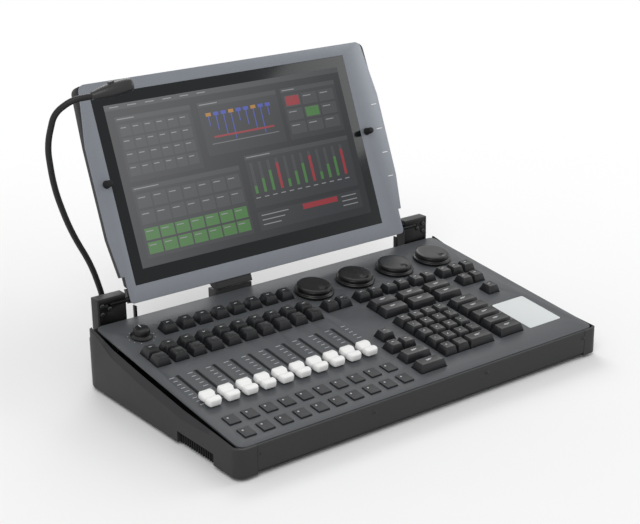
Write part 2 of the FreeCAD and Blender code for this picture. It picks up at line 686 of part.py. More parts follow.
def fader_body(number, x):
    """The channel of one fader, open at the top for the blade."""
    base = box(f"Channel{number}", FADER_BODY_WIDTH, f"fader_travel + 2 * {FADER_BODY_SPARE}",
               "board_drop - panel_thick", f"{x} - {FADER_BODY_WIDTH} / 2",
               f"fader_rest - {FADER_BODY_SPARE}", "-board_drop")
    groove = box(f"Groove{number}", "slot_width", "fader_travel + 2 * slot_spare", BLADE_REACH + 2.5,
                 f"{x} - slot_width / 2", "fader_rest - slot_spare", f"-panel_thick - {BLADE_REACH} - 1.5")
    return cut(f"FaderBody{number}", base, groove)


def fader_cap(number, x):
    """A rounded cap with a valley across its middle."""
    grip = box(f"Grip{number}", "cap_width", "cap_length", "cap_high - cap_low", f"{x} - cap_width / 2",
               "fader_rest - cap_length / 2", "cap_low")
    soft = rounded(f"GripCorners{number}", grip, lambda edge: along_axis(edge, "z"), 3.2)
    smooth = rounded(f"GripTop{number}", soft, lambda edge: edge.BoundBox.ZMin > size("cap_high") - 0.01,
                     1.8)
    valley = cylinder(f"Valley{number}", 14, "cap_width + 2", f"{x} - cap_width / 2 - 1", "fader_rest",
                      "cap_high + 14 - 1.9", along="x")
    blade = box(f"Blade{number}", BLADE_THICK, BLADE_WIDTH, f"cap_low + 0.5 + panel_thick + {BLADE_REACH}",
                f"{x} - {BLADE_THICK} / 2", f"fader_rest - {BLADE_WIDTH} / 2",
                f"-panel_thick - {BLADE_REACH}")
    return fuse(f"FaderCap{number}", cut(f"GripBody{number}", smooth, valley), blade)


node("fader_bodies", gather("FaderBodies", [fader_body(number, x) for number, x
                                            in enumerate(CHANNEL_X, start=1)]), "panel")
for number, x in enumerate(CHANNEL_X, start=1):
    node(f"fader_cap_{number}", fader_cap(number, x), "panel")

# Rotary bodies: the four encoders and the level control, each with its shaft.
ROTARY_HALF = 8


def rotary_body(number, x, y, high):
    """A rotary control on the board, with its shaft."""
    base = box(f"Rotary{number}_base", 2 * ROTARY_HALF, 2 * ROTARY_HALF, "board_drop - panel_thick - 0.5",
               f"{x} - {ROTARY_HALF}", f"{y} - {ROTARY_HALF}", "-board_drop")
    shaft = cylinder(f"Rotary{number}_shaft", "shaft_radius", f"{high} - turning_roof - 0.4 + panel_thick + 1",
                     x, y, "-panel_thick - 1")
    return fuse(f"Rotary{number}", base, shaft)


rotaries = [rotary_body(number, x, "wheel_row", "wheel_high") for number, x in enumerate(WHEEL_X, start=1)]
rotaries.append(rotary_body(5, "knob_centre", "knob_row", "knob_high"))
node("rotary_bodies", gather("RotaryBodies", rotaries), "panel")

bore, dial_edge = "shaft_radius + shaft_fit", 1.2
DIMPLE_RADIUS, DIMPLE_DEPTH, DIMPLE_X, DIMPLE_Y = 9, 1.8, 3.5, -13.5
for number, x in enumerate(WHEEL_X, start=1):
    wheel = turned_body(f"Wheel{number}", [
        (bore, "wheel_low"), ("wheel_radius", "wheel_low"), ("wheel_radius", "wheel_low + wheel_flange"),
        ("wheel_dial", "wheel_low + wheel_flange"), ("wheel_dial", f"wheel_high - {dial_edge}"),
        (f"wheel_dial - {dial_edge}", "wheel_high"), ("0", "wheel_high"),
        ("0", "wheel_high - turning_roof"), (bore, "wheel_high - turning_roof")])
    at(wheel, x, "wheel_row", 0)
    dimple = bind(doc.addObject("Part::Sphere", f"Dimple{number}"), Radius=DIMPLE_RADIUS)
    at(dimple, f"{x} + {DIMPLE_X}", f"wheel_row + {DIMPLE_Y}",
       f"wheel_high + {DIMPLE_RADIUS} - {DIMPLE_DEPTH}")
    node(f"encoder_wheel_{number}", cut(f"EncoderWheel{number}", wheel, dimple), "panel")

knob = turned_body("Knob", [
    (bore, "wheel_low"), ("knob_skirt", "wheel_low"), ("knob_skirt", "wheel_low + 1"),
    ("knob_radius + 0.8", "wheel_low + 2.4"), ("knob_radius", "wheel_low + 3.2"),
    ("knob_radius - 0.4", "knob_high - 0.8"), ("knob_radius - 1.2", "knob_high"), ("0", "knob_high"),
    ("0", "knob_high - turning_roof"), (bore, "knob_high - turning_roof")])
at(knob, "knob_centre", "knob_row", 0)
node("level_knob", gather("LevelKnob", [knob]), "panel")

# Boards and power supply.
BOARD_EDGE = 12
node("control_board", gather("ControlBoard", [
    box("ControlBoardPlate", f"panel_width - 2 * {BOARD_EDGE}", f"panel_depth - 2 * {BOARD_EDGE}",
        "board_thick", f"-panel_width / 2 + {BOARD_EDGE}", f"panel_front + {BOARD_EDGE}",
        "-board_drop - board_thick")]), "panel")

board_low = f"case_floor + sheet_metal + {BOARD_LIFT}"
board_parts = [box("MainBoardPlate", BOARD_WIDTH, BOARD_DEPTH, "board_thick", BOARD_X, BOARD_Y, board_low)]
# What stands on the main board: x, y, width, depth, height.
FITTINGS = [(20, 30, 40, 40, 9), (80, 34, 60, 10, 12), (80, 60, 60, 10, 12), (150, 30, 50, 60, 7),
            (20, 95, 70, 40, 6)]
for number, (x, y, wide, deep, tall) in enumerate(FITTINGS, start=1):
    board_parts.append(box(f"Fitting{number}", wide, deep, f"board_thick + {tall}", BOARD_X + x, BOARD_Y + y,
                           board_low))
node("main_board", fuse("MainBoard", *board_parts))
node("power_supply", gather("PowerSupply", [box("SupplyCase", 50, 110, 28, 184, 120,
                                                "case_floor + sheet_metal")]))

# ---------------------------------------------------------------------------------------------
# Rear: sockets, hinge towers and the saddle of the cable drum
# ---------------------------------------------------------------------------------------------
FLANGE = 1.4


def data_socket(number, x, z):
    """A five-pole socket: a flange, a barrel through the wall and five pin holes in its face."""
    flange = cylinder(f"Flange{number}", DMX_RADIUS + 1.2, FLANGE, x, "case_rear", z, along="y")
    barrel = cylinder(f"Barrel{number}", DMX_RADIUS, 22, x, f"case_rear + {FLANGE} - 22", z, along="y")
    tools = [cylinder(f"Rim{number}", DMX_RADIUS - 2.4, 2, x, f"case_rear + {FLANGE} - 1", z, along="y")]
    for pole in range(5):
        angle = math.radians(90 + 72 * pole)
        tools.append(cylinder(f"Pole{number}_{pole}", 1.3, 9, x + 5 * math.cos(angle),
                              f"case_rear + {FLANGE} - 8", z + 5 * math.sin(angle), along="y"))
    return cut(f"DataSocket{number}", fuse(f"SocketBody{number}", flange, barrel), *tools)


node("dmx_sockets", gather("DmxSockets", [data_socket(number, x, z) for number, (x, z)
                                          in enumerate(DMX_SPOTS, start=1)]))

inlet_shell = fuse(
    "InletShell",
    box("InletBody", 2 * INLET_HALF_X, 18 + FLANGE, 2 * INLET_HALF_Z, INLET_X - INLET_HALF_X, "case_rear - 18",
        INLET_Z - INLET_HALF_Z),
    box("InletFlange", 2 * INLET_HALF_X + 4, FLANGE, 2 * INLET_HALF_Z + 4, INLET_X - INLET_HALF_X - 2,
        "case_rear", INLET_Z - INLET_HALF_Z - 2))
inlet_cup = box("InletCup", 2 * INLET_HALF_X - 4, 20, 2 * INLET_HALF_Z - 4, INLET_X - INLET_HALF_X + 2,
                "case_rear - 15", INLET_Z - INLET_HALF_Z + 2)
blades = [box(f"InletBlade{number}", 2, 12.5, 4, INLET_X + x - 1, "case_rear - 15.5", INLET_Z + z - 2)
          for number, (x, z) in enumerate([(-7, -2), (0, 3), (7, -2)], start=1)]
node("power_inlet", fuse("PowerInlet", cut("InletHollow", inlet_shell, inlet_cup), *blades))

node("lamp_socket", cut(
    "LampSocket",
    cylinder("LampSocketShell", SOCKET_RADIUS, 14, "lamp_x", "case_rear - 13", "lamp_height", along="y"),
    cylinder("LampSocketBore", "plug_pin + 0.2", 13, "lamp_x", "case_rear - 10", "lamp_height", along="y")))

# Towers: a block on the deck with a pocket in front and a blind bore for the hinge shaft.
POCKET_EDGE, POCKET_DEPTH, HINGE_SHEET, BRACKET_REACH, BRACKET_LIFT = 2.4, 2, 1.6, 14, 8
TOWER_SCREWS = [(31, -9), (31, -19), (21.5, -14)]

tower_block = box("TowerBlock", "tower_width", "tower_depth", "tower_height", "tower_inner", "tower_front",
                  "deck_height")


def outer_edge(edge):
    """Whether an edge of a tower is its rear one at the top or at the outside."""
    bounds = edge.BoundBox
    if bounds.YMin < size("tower_front") + 1:
        return False
    over = along_axis(edge, "x") and bounds.ZMin > size("tower_top") - 1
    return over or (along_axis(edge, "z") and bounds.XMin > size("tower_inner") + 1)


tower_soft = rounded("TowerSoft", tower_block, outer_edge, 4)
pocket = box("TowerPocket", f"tower_width + 1 - {POCKET_EDGE}", f"1 + {POCKET_DEPTH}",
             f"tower_height - 6 - {POCKET_EDGE}", "tower_inner - 1", "tower_front - 1", "deck_height + 6")
tower_bore = cylinder("TowerBore", "shaft_radius + shaft_fit", "hinge_reach + 3", "tower_inner - 1",
                      "hinge_y", "hinge_z", along="x")
tower = cut("Tower", tower_soft, pocket, tower_bore)
node("left_tower", gather("LeftTower", [mirrored("TowerMirror", tower)]))
node("right_tower", gather("RightTower", [tower]))


def hinge_plate(side_name):
    """The steel plate in a tower's pocket, with a bracket bent inwards below the hinge."""
    face = box(f"Face{side_name}", f"tower_width - {POCKET_EDGE} - 0.2", HINGE_SHEET,
               f"tower_height - 6 - {POCKET_EDGE} - 0.4", "tower_inner", "tower_front + 0.4",
               "deck_height + 6.2")
    tab = box(f"Tab{side_name}", f"{BRACKET_REACH} + 1", HINGE_SHEET, HINGE_SHEET,
              f"tower_inner - {BRACKET_REACH}", "tower_front + 0.4", f"deck_height + {BRACKET_LIFT}")
    sill = box(f"Sill{side_name}", f"{BRACKET_REACH} - 0.2", 6.6, HINGE_SHEET,
               f"tower_inner - {BRACKET_REACH}", "tower_front + 0.4", f"deck_height + {BRACKET_LIFT}")
    leg = box(f"Leg{side_name}", HINGE_SHEET, 6.6, f"hinge_rise - 9.8 - {BRACKET_LIFT}",
              f"tower_inner - {BRACKET_REACH}", "tower_front + 0.4", f"deck_height + {BRACKET_LIFT}")
    tools = [cylinder(f"Eye{side_name}", "shaft_radius + 0.6", "tower_width", "tower_inner - 1", "hinge_y",
                      "hinge_z", along="x")]
    for number, (across, drop) in enumerate(TOWER_SCREWS, start=1):
        tools.append(cylinder(f"ScrewHole{side_name}{number}", 1.6, 6, f"tower_inner + {across}",
                              "tower_front - 2", f"tower_top + {drop}", along="y"))
    return cut(f"HingePlate{side_name}", fuse(f"HingeSheet{side_name}", face, tab, sill, leg), *tools)


node("hinge_plates", gather("HingePlates", [hinge_plate("Right"),
                                            mirrored("HingePlateMirror", hinge_plate("Left"))]))


def screw(name, x, y, z, head_radius, head_height, shank_radius, shank_length):
    """A screw along y, its head in front of y."""
    head = cylinder(f"{name}_head", head_radius, f"{head_height} + 0.1", x, f"{y} - {head_height}", z,
                    along="y")
    shank = cylinder(f"{name}_shank", shank_radius, shank_length, x, y, z, along="y")
    return fuse(name, head, shank)


FRONT_SCREWS = [-234, -85.8, 76.6, 234]
SCREW_DROP = 9
screws = [screw(f"TowerScrew{side + 1}_{number}", f"{side} * (tower_inner + {across})",
                "tower_front + 0.28", f"tower_top + {drop}", 2.8, 1.2, 1.5, 1.6)
          for side in (-1, 1) for number, (across, drop) in enumerate(TOWER_SCREWS, start=1)]
front_z = slope_height(front) - SCREW_DROP
screws += [cylinder(f"FrontScrew{number}", 2.6, 0.8, x, "case_front - 0.8", front_z, along="y")
           for number, x in enumerate(FRONT_SCREWS, start=1)]
node("case_screws", gather("CaseScrews", screws))

SADDLE_REAR = 6
saddle_block = box("SaddleBlock", "drum_width + 2", f"case_rear - {SADDLE_REAR} - deck_start - 0.2",
                   "hinge_rise - 4", "drum_left - 1", "deck_start + 0.2", "deck_height")
drum_space = cylinder("DrumSpace", "drum_radius + drum_gap", "drum_width + 4", "drum_left - 2", "hinge_y",
                      "hinge_z", along="x")
rear_space = box("RearSpace", "drum_width + 4", 40, 40, "drum_left - 2", "hinge_y",
                 "hinge_z - drum_radius - drum_gap - 0.2")
node("cable_saddle", cut("CableSaddle", saddle_block, drum_space, rear_space))

# ---------------------------------------------------------------------------------------------
# Display
# ---------------------------------------------------------------------------------------------
def display_outline(inset, low_edge, crown):
    """Outline of the display, as pairs of expressions, anticlockwise from the lower right."""
    right = [("plate_neck", low_edge), ("plate_neck", "neck_high"), ("plate_waist", "neck_high"),
             ("plate_full", "waist_high"), ("plate_full", "full_high"),
             (crown, f"plate_high - {inset}")]
    right = [(f"({width}) / 2 - {inset}", height) for width, height in right]
    return right + [(f"-({x})", y) for x, y in reversed(right)]


def high_corner(edge):
    """Whether an edge of the display is an upright one at its top."""
    return along_axis(edge, "z") and edge.BoundBox.YMin > size("plate_high") - 5


def low_corner(edge):
    """Whether an edge of the display is an upright one at its bottom."""
    return along_axis(edge, "z") and edge.BoundBox.YMax < size("back_low") + 1


front_plate = plate_body("FrontPlate", display_outline("0", "plate_low", "plate_crown"), "plate_thick",
                         "plate_back")
dress(front_plate, "Fillet", "CrownCorners", high_corner, "crown_corner")
dress(front_plate, "Fillet", "NeckCorners", low_corner, "neck_corner")
glass_window = box("GlassWindow", "glass_width", "glass_height", "plate_thick + 2", "glass_left", "glass_low",
                   "plate_back - 1")
node("display_frame", cut("DisplayFrame", front_plate, glass_window), "display")
node("display_glass", gather("DisplayGlass", [
    box("Glass", "glass_width - 2 * glass_gap", "glass_height - 2 * glass_gap", "glass_thick",
        "glass_left + glass_gap", "glass_low + glass_gap", "face_offset - glass_thick - 0.1")]), "display")
node("lcd_module", gather("LcdModule", [
    box("Lcd", "screen_width + 2 * lcd_edge", "screen_height + 2 * lcd_edge", "lcd_thick",
        "screen_centre - screen_width / 2 - lcd_edge", "screen_low - lcd_edge",
        "face_offset - glass_thick - 0.2 - lcd_thick")]), "display")

back_plate = plate_body("BackPlate", display_outline("back_inset", "back_low", "plate_full - 6"),
                        "back_depth", "plate_back - back_depth")
dress(back_plate, "Fillet", "BackCorners", high_corner, "crown_corner")
dress(back_plate, "Fillet", "BackFoot", low_corner, "neck_corner")
dress(back_plate, "Chamfer", "BackEdge",
      lambda edge: edge.BoundBox.ZMax < size("plate_back") - size("back_depth") + 0.01, "back_chamfer")
back_hollow = box("BackHollow", "glass_width + 4", "glass_height - 4", "back_depth - back_wall + 1",
                  "glass_left - 2", "glass_low + 6", "plate_back - back_depth + back_wall")
node("display_back", cut("DisplayBack", back_plate, back_hollow), "display")

bumpers = [cone(f"Bumper_{side}", "bumper_radius", "bumper_radius - 1.4", "bumper_height",
                f"bumper_{side}", "bumper_row", "face_offset") for side in ("left", "right")]
node("display_bumpers", gather("DisplayBumpers", bumpers), "display")


def hinge_arm(name):
    """A steel arm behind the front plate, with the shaft that turns in the tower."""
    arm = box(f"Arm{name}", "arm_width - 0.6", "back_low + 5", "plate_back + 6",
              "plate_neck / 2 - arm_width", -5, -6)
    shaft = cylinder(f"Shaft{name}", "shaft_radius", "arm_width - 2 + display_gap + hinge_reach",
                     "plate_neck / 2 - arm_width + 2", 0, 0, along="x")
    return fuse(f"HingeArm{name}", arm, shaft)


node("hinge_arms", gather("HingeArms", [hinge_arm("Right"), mirrored("HingeArmMirror", hinge_arm("Left"))]),
     "display")
node("cable_drum", common(
    "CableDrum",
    cylinder("DrumRound", "drum_radius", "drum_width", "drum_left", 0, 0, along="x"),
    box("DrumClip", "drum_width + 2", "drum_radius + back_low", "drum_radius + plate_back + 1",
        "drum_left - 1", "-drum_radius", "-drum_radius - 1")), "display")

# ---------------------------------------------------------------------------------------------
# Lamp
# ---------------------------------------------------------------------------------------------
# Route of the gooseneck, from the lamp's swivel axis at the height of its socket.
ROUTE = [(0, 0, 15), (0, -1, 50), (-16, -9, 96), (-46, -21, 148), (-69, -36, 204), (-81, -52, 256),
         (-77, -66, 292), (-60, -76, 305.5), (-40, -81, 307)]
swivel = Vector(size("lamp_x"), size("lamp_y"), size("lamp_height"))
route = [swivel + Vector(*step_to) for step_to in ROUTE]


def rounded_route(points, share=0.45):
    """Straight runs joined by tangent arcs, as one wire, with the radius of each arc."""
    edges, radii, start = [], [], points[0]
    for before, corner, after in zip(points, points[1:], points[2:]):
        arrive, leave = corner - before, after - corner
        turn = arrive.getAngle(leave)
        back = share * min(arrive.Length, leave.Length)
        radii.append(back / math.tan(turn / 2))
        begin = corner - arrive.normalize() * back
        end = corner + leave.normalize() * back
        inwards = ((begin + end) * 0.5 - corner).normalize()
        lift = radii[-1] / math.cos(turn / 2) - radii[-1]
        edges.append(Part.LineSegment(start, begin).toShape())
        edges.append(Part.Arc(begin, corner + inwards * lift, end).toShape())
        start = end
    edges.append(Part.LineSegment(start, points[-1]).toShape())
    return Part.Wire(edges), radii


path, radii = rounded_route(route)
ring = Part.Wire(Part.Circle(route[0], route[1] - route[0], size("tube_radius")).toShape())
tube = path.makePipeShell([ring], True, False)
expected = math.pi * size("tube_radius") ** 2 * path.Length
print(f"gooseneck: length {path.Length:.1f}, radii {min(radii):.1f} to {max(radii):.1f}, "
      f"volume over section times length {tube.Volume / expected:.4f}")
node("lamp_gooseneck", drawn("LampGooseneck", tube))

# Plug: a pin in the socket and an elbow that the gooseneck stands on.
node("lamp_plug", fuse(
    "LampPlug",
    cylinder("PlugPin", "plug_pin", 8, "lamp_x", "case_rear - 7", "lamp_height", along="y"),
    cylinder("PlugShell", "plug_radius", "lamp_reach + plug_radius - 1", "lamp_x", "case_rear + 1",
             "lamp_height", along="y"),
    cylinder("PlugElbow", "plug_radius - 1", ROUTE[0][2] - 0.3, "lamp_x", "lamp_y", "lamp_height")))

# Head: a tapered neck and a rounded body, with a well for the diodes' lens underneath and a
# button on top.  Its own frame has x along the head and z out of its back.
HEAD_YAW, HEAD_CLIMB = -7, -9.5
HEAD_HALF_WIDTH, HEAD_UNDER, HEAD_OVER = 8.4, 8.2, 7.4
LENS_LENGTH, LENS_HALF, LENS_END = 20.5, 5.6, 3.5
BUTTON_X, BUTTON_HALF_X, BUTTON_HALF_Y = 23, 4, 3
turned_head = Placement(route[-1], Rotation(Vector(0, 0, 1), HEAD_YAW) * Rotation(Vector(0, 1, 0),
                                                                                 HEAD_CLIMB))


def in_head(name, piece):
    """Set a piece of the head in the case frame."""
    piece.Placement = turned_head
    return gather(name, [piece])


neck = cone("Neck", "tube_radius + 0.6", HEAD_OVER - 0.4, 12, 0, 0, 0)
neck.Placement.Rotation = Rotation(Vector(0, 1, 0), 90)
bulk = box("HeadBulk", "head_length - 9", 2 * HEAD_HALF_WIDTH, HEAD_UNDER + HEAD_OVER, 9, -HEAD_HALF_WIDTH,
           -HEAD_UNDER)
bulk_soft = rounded("HeadSides", bulk, lambda edge: along_axis(edge, "x"), 4.5)
bulk_round = rounded("HeadEnd", bulk_soft, lambda edge: edge.BoundBox.XMin > size("head_length") - 0.01, 3)
lens_well = box("LensWell", LENS_LENGTH, 2 * LENS_HALF, 6, f"head_length - {LENS_END} - {LENS_LENGTH}",
                -LENS_HALF, -9)
button_well = box("ButtonWell", 2 * BUTTON_HALF_X + 0.4, 2 * BUTTON_HALF_Y + 0.4, 4,
                  BUTTON_X - BUTTON_HALF_X - 0.2, -BUTTON_HALF_Y - 0.2, HEAD_OVER - 1.8)
node("lamp_head", in_head("LampHead", cut("HeadShell", fuse("HeadSolid", neck, bulk_round), lens_well,
                                          button_well)))
node("lamp_lens", in_head("LampLens", gather("LensGroup", [
    box("Lens", LENS_LENGTH - 0.2, 2 * LENS_HALF - 0.2, 1.8,
        f"head_length - {LENS_END} - {LENS_LENGTH} + 0.1", -LENS_HALF + 0.1, -4.8)])))
node("lamp_button", in_head("LampButton", gather("ButtonGroup", [
    box("Button", 2 * BUTTON_HALF_X, 2 * BUTTON_HALF_Y, 3.2, BUTTON_X - BUTTON_HALF_X, -BUTTON_HALF_Y,
        HEAD_OVER - 1.1)])))

# ---------------------------------------------------------------------------------------------
# Checks and export
# ---------------------------------------------------------------------------------------------
doc.recompute()
for obj in doc.Objects:
    if "Invalid" in obj.State or "Error" in obj.State:
        raise RuntimeError(f"{obj.Name} failed: {obj.State}")
for obj in NODES:
    if obj.Shape.isNull() or not obj.Shape.isValid() or not obj.Shape.Solids:
        raise RuntimeError(f"{obj.Label} has no valid shape")

os.makedirs("parts", exist_ok=True)
for obj in NODES:
    obj.Shape.exportStep(os.path.join("parts", obj.Label + ".step"))
print(len(NODES), "nodes")
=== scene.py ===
"""Looks of the lighting control desk: every visible surface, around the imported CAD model.

Sizes are metres.  Pieces on the sloping panel are built in the panel's own frame (across, up the
slope, off the surface), pieces on the display in the display's frame, and are then set in place.
"""
import json
import logging
import math
from dataclasses import dataclass, field
from enum import Enum
from typing import Callable, Iterable, Sequence

import bmesh
import bpy
from mathutils import Matrix, Vector

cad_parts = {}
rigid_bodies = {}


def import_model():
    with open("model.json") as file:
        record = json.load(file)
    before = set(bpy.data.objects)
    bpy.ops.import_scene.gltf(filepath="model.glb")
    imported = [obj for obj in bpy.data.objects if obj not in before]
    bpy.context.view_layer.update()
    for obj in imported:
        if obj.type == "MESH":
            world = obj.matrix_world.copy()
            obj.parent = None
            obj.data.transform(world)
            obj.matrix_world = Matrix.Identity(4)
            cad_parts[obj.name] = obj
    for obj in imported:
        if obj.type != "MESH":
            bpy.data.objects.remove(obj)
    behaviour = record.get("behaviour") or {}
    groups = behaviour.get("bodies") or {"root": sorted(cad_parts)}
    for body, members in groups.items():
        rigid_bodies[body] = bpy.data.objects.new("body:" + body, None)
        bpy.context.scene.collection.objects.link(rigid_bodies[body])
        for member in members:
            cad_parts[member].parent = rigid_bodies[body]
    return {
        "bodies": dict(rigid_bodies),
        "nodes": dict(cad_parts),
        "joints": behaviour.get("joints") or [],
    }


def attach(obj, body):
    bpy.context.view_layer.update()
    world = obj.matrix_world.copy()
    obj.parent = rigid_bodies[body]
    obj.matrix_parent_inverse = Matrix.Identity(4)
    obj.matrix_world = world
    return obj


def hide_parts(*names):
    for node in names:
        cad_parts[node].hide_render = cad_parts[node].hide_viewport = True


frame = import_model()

logging.basicConfig(level=logging.INFO, format="%(message)s")
LOG = logging.getLogger("desk")
MM = 0.001
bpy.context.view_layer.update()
Point = tuple[float, float, float]
Test = Callable[[Vector, Vector], bool]


# ---------------------------------------------------------------------------------------------
# Frames
# ---------------------------------------------------------------------------------------------
def joint(name: str) -> dict:
    """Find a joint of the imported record.

    Args:
        name: The joint's name.

    Returns:
        The joint's entry.
    """
    return next(entry for entry in frame["joints"] if entry["name"] == name)


@dataclass(frozen=True)
class LocalFrame:
    """A flat working frame of the desk, set in the row frame."""

    origin: Vector
    across: Vector
    along: Vector
    out: Vector

    @property
    def matrix(self) -> Matrix:
        """Matrix from this frame to the row frame."""
        turn = Matrix((self.across, self.along, self.out)).transposed().to_4x4()
        return Matrix.Translation(self.origin) @ turn

    def inside(self, point: Vector) -> Vector:
        """Coordinates of a row-frame point in this frame."""
        offset = point - self.origin
        return Vector((offset.dot(self.across), offset.dot(self.along), offset.dot(self.out)))

    def box_of(self, points: Iterable[Vector]) -> tuple[Vector, Vector]:
        """Bound points in this frame.

        Args:
            points: Points in the row frame.

        Returns:
            The low and the high corner, in this frame.
        """
        local = [self.inside(point) for point in points]
        low = Vector([min(point[axis] for point in local) for axis in range(3)])
        high = Vector([max(point[axis] for point in local) for axis in range(3)])
        return low, high


def node_points(node: str) -> list[Vector]:
    """Corners of a CAD node's mesh, in the row frame."""
    return [vertex.co.copy() for vertex in frame["nodes"][node].data.vertices]


def panel_frame() -> LocalFrame:
    """Work out the panel's frame from the fader slides and the top panel.

    Returns:
        The frame, with its origin at the front of the panel's surface, in the middle.
    """
    across = Vector((1, 0, 0))
    along = Vector(joint("fader_1_slide")["axis"]).normalized()
    out = across.cross(along)
    rough = LocalFrame(Vector(), across, along, out)
    low, high = rough.box_of(node_points("top_panel"))
    origin = across * ((low.x + high.x) / 2) + along * low.y + out * high.z
    return LocalFrame(origin, across, along, out)


def display_frame() -> LocalFrame:
    """Work out the display's frame from its hinge and its front plate.

    Returns:
        The frame, with its origin on the hinge axis in the middle of the case.
    """
    hinge = Vector(joint("display_fold")["pos_m"])
    points = node_points("display_frame")
    highest = max(points, key=lambda point: point.z)
    lean = max(((highest - hinge).normalized().dot(Vector((0, math.cos(a), math.sin(a)))), a)
               for a in [math.radians(step / 10) for step in range(400, 900)])[1]
    best = None
    for step in range(-60, 61):
        angle = lean + math.radians(step / 20)
        out = Vector((0, -math.sin(angle), math.cos(angle)))
        depths = [point.dot(out) for point in points]
        spread = max(depths) - min(depths)
        best = min(best or (spread, angle), (spread, angle))
    angle = best[1]
    return LocalFrame(Vector((PANEL.origin.x, hinge.y, hinge.z)), Vector((1, 0, 0)),
                      Vector((0, math.cos(angle), math.sin(angle))),
                      Vector((0, -math.sin(angle), math.cos(angle))))


PANEL = panel_frame()
DISPLAY = display_frame()
ROW = LocalFrame(Vector(), Vector((1, 0, 0)), Vector((0, 1, 0)), Vector((0, 0, 1)))


def solids(node: str, where: LocalFrame) -> list[tuple[Vector, Vector]]:
    """Boxes of the separate solids of a CAD node.

    Args:
        node: The node's name.
        where: The frame to measure in.

    Returns:
        The low and high corner of each solid, sorted from front to rear and left to right.
    """
    mesh = bmesh.new()
    mesh.from_mesh(frame["nodes"][node].data)
    bmesh.ops.remove_doubles(mesh, verts=mesh.verts, dist=1e-6)
    left, found = set(mesh.verts), []
    while left:
        reach, stack = [], [left.pop()]
        while stack:
            vertex = stack.pop()
            reach.append(vertex.co.copy())
            for edge in vertex.link_edges:
                other = edge.other_vert(vertex)
                if other in left:
                    left.remove(other)
                    stack.append(other)
        found.append(where.box_of(reach))
    mesh.free()
    return sorted(found, key=lambda pair: (round(pair[0].y, 3), round(pair[0].x, 4)))


# ---------------------------------------------------------------------------------------------
# Finishes
# ---------------------------------------------------------------------------------------------
GRAIN_DETAIL = 2
SMEAR_SCALE, SMEAR_DETAIL, SMEAR_ROUGHNESS = 22, 5, 0.62
SHADE_GAIN, SMEAR_GAIN = 2.0, 2.5
BUMP_STRENGTH = 0.6
# Painted reflection on the screen: a pale gradient laid over its upper left, along this slope of the
# screen's own coordinates.
PAINTED_REFLECTION_SLOPE = (-0.75, 0.25, 0.62)
PAINTED_REFLECTION_START, PAINTED_REFLECTION_END = -0.02, 0.36


def maths(tree: bpy.types.NodeTree, operation: str, *values: object) -> bpy.types.NodeSocket:
    """Add a maths node.

    Args:
        tree: The tree that it joins.
        operation: Blender's name of the operation.
        values: Its inputs, each a socket or a number.

    Returns:
        The node's result.
    """
    step = tree.nodes.new("ShaderNodeMath")
    step.operation = operation
    for socket, value in zip(step.inputs, values):
        if isinstance(value, (int, float)):
            socket.default_value = value
        else:
            tree.links.new(value, socket)
    return step.outputs[0]


def soft_step(tree: bpy.types.NodeTree, value: bpy.types.NodeSocket, start: float, end: float
              ) -> bpy.types.NodeSocket:
    """Add a soft step from 0 at one value to 1 at another.

    Args:
        tree: The tree that it joins.
        value: The socket that it reads.
        start: The value where it leaves 0.
        end: The value where it comes to 1.

    Returns:
        The step's result.
    """
    spread = tree.nodes.new("ShaderNodeMapRange")
    spread.interpolation_type = "SMOOTHSTEP"
    spread.inputs["From Min"].default_value = start
    spread.inputs["From Max"].default_value = end
    tree.links.new(value, spread.inputs["Value"])
    return spread.outputs["Result"]


def grain_group() -> bpy.types.NodeTree:
    """Build the shared group that gives a surface its fine grain and its uneven handling marks.

    Returns:
        The node group, with a shaded colour, a roughness and a height.
    """
    group = bpy.data.node_groups.new("surface_grain", "ShaderNodeTree")
    faces = group.interface
    for name, kind, value in (("Colour", "NodeSocketColor", (0.1, 0.1, 0.1, 1)),
                              ("Roughness", "NodeSocketFloat", 0.5),
                              ("Grain size", "NodeSocketFloat", 1500.0),
                              ("Grain shade", "NodeSocketFloat", 0.1),
                              ("Marks", "NodeSocketFloat", 0.08)):
        socket = faces.new_socket(name, in_out="INPUT", socket_type=kind)
        socket.default_value = value
    for name, kind in (("Colour", "NodeSocketColor"), ("Roughness", "NodeSocketFloat"),
                       ("Height", "NodeSocketFloat")):
        faces.new_socket(name, in_out="OUTPUT", socket_type=kind)
    nodes, link = group.nodes, group.links.new
    given, result = nodes.new("NodeGroupInput"), nodes.new("NodeGroupOutput")
    place = nodes.new("ShaderNodeTexCoord")
    fine, broad = nodes.new("ShaderNodeTexNoise"), nodes.new("ShaderNodeTexNoise")
    fine.inputs["Detail"].default_value = GRAIN_DETAIL
    broad.inputs["Scale"].default_value = SMEAR_SCALE
    broad.inputs["Detail"].default_value = SMEAR_DETAIL
    broad.inputs["Roughness"].default_value = SMEAR_ROUGHNESS
    for noise in (fine, broad):
        link(place.outputs["Object"], noise.inputs["Vector"])
    link(given.outputs["Grain size"], fine.inputs["Scale"])
    speck = maths(group, "SUBTRACT", fine.outputs["Fac"], 0.5)
    smear = maths(group, "SUBTRACT", broad.outputs["Fac"], 0.5)
    shade = maths(group, "ADD", maths(group, "MULTIPLY", speck, given.outputs["Grain shade"]),
                  maths(group, "MULTIPLY", smear, given.outputs["Marks"]))
    shaded = nodes.new("ShaderNodeVectorMath")
    shaded.operation = "SCALE"
    link(given.outputs["Colour"], shaded.inputs[0])
    link(maths(group, "ADD", 1.0, maths(group, "MULTIPLY", shade, SHADE_GAIN)),
         shaded.inputs["Scale"])
    link(shaded.outputs[0], result.inputs["Colour"])
    uneven = maths(group, "MULTIPLY", given.outputs["Marks"], SMEAR_GAIN)
    rough = maths(group, "ADD", given.outputs["Roughness"],
                  maths(group, "MULTIPLY", smear, uneven))
    link(rough, result.inputs["Roughness"])
    link(fine.outputs["Fac"], result.inputs["Height"])
    return group


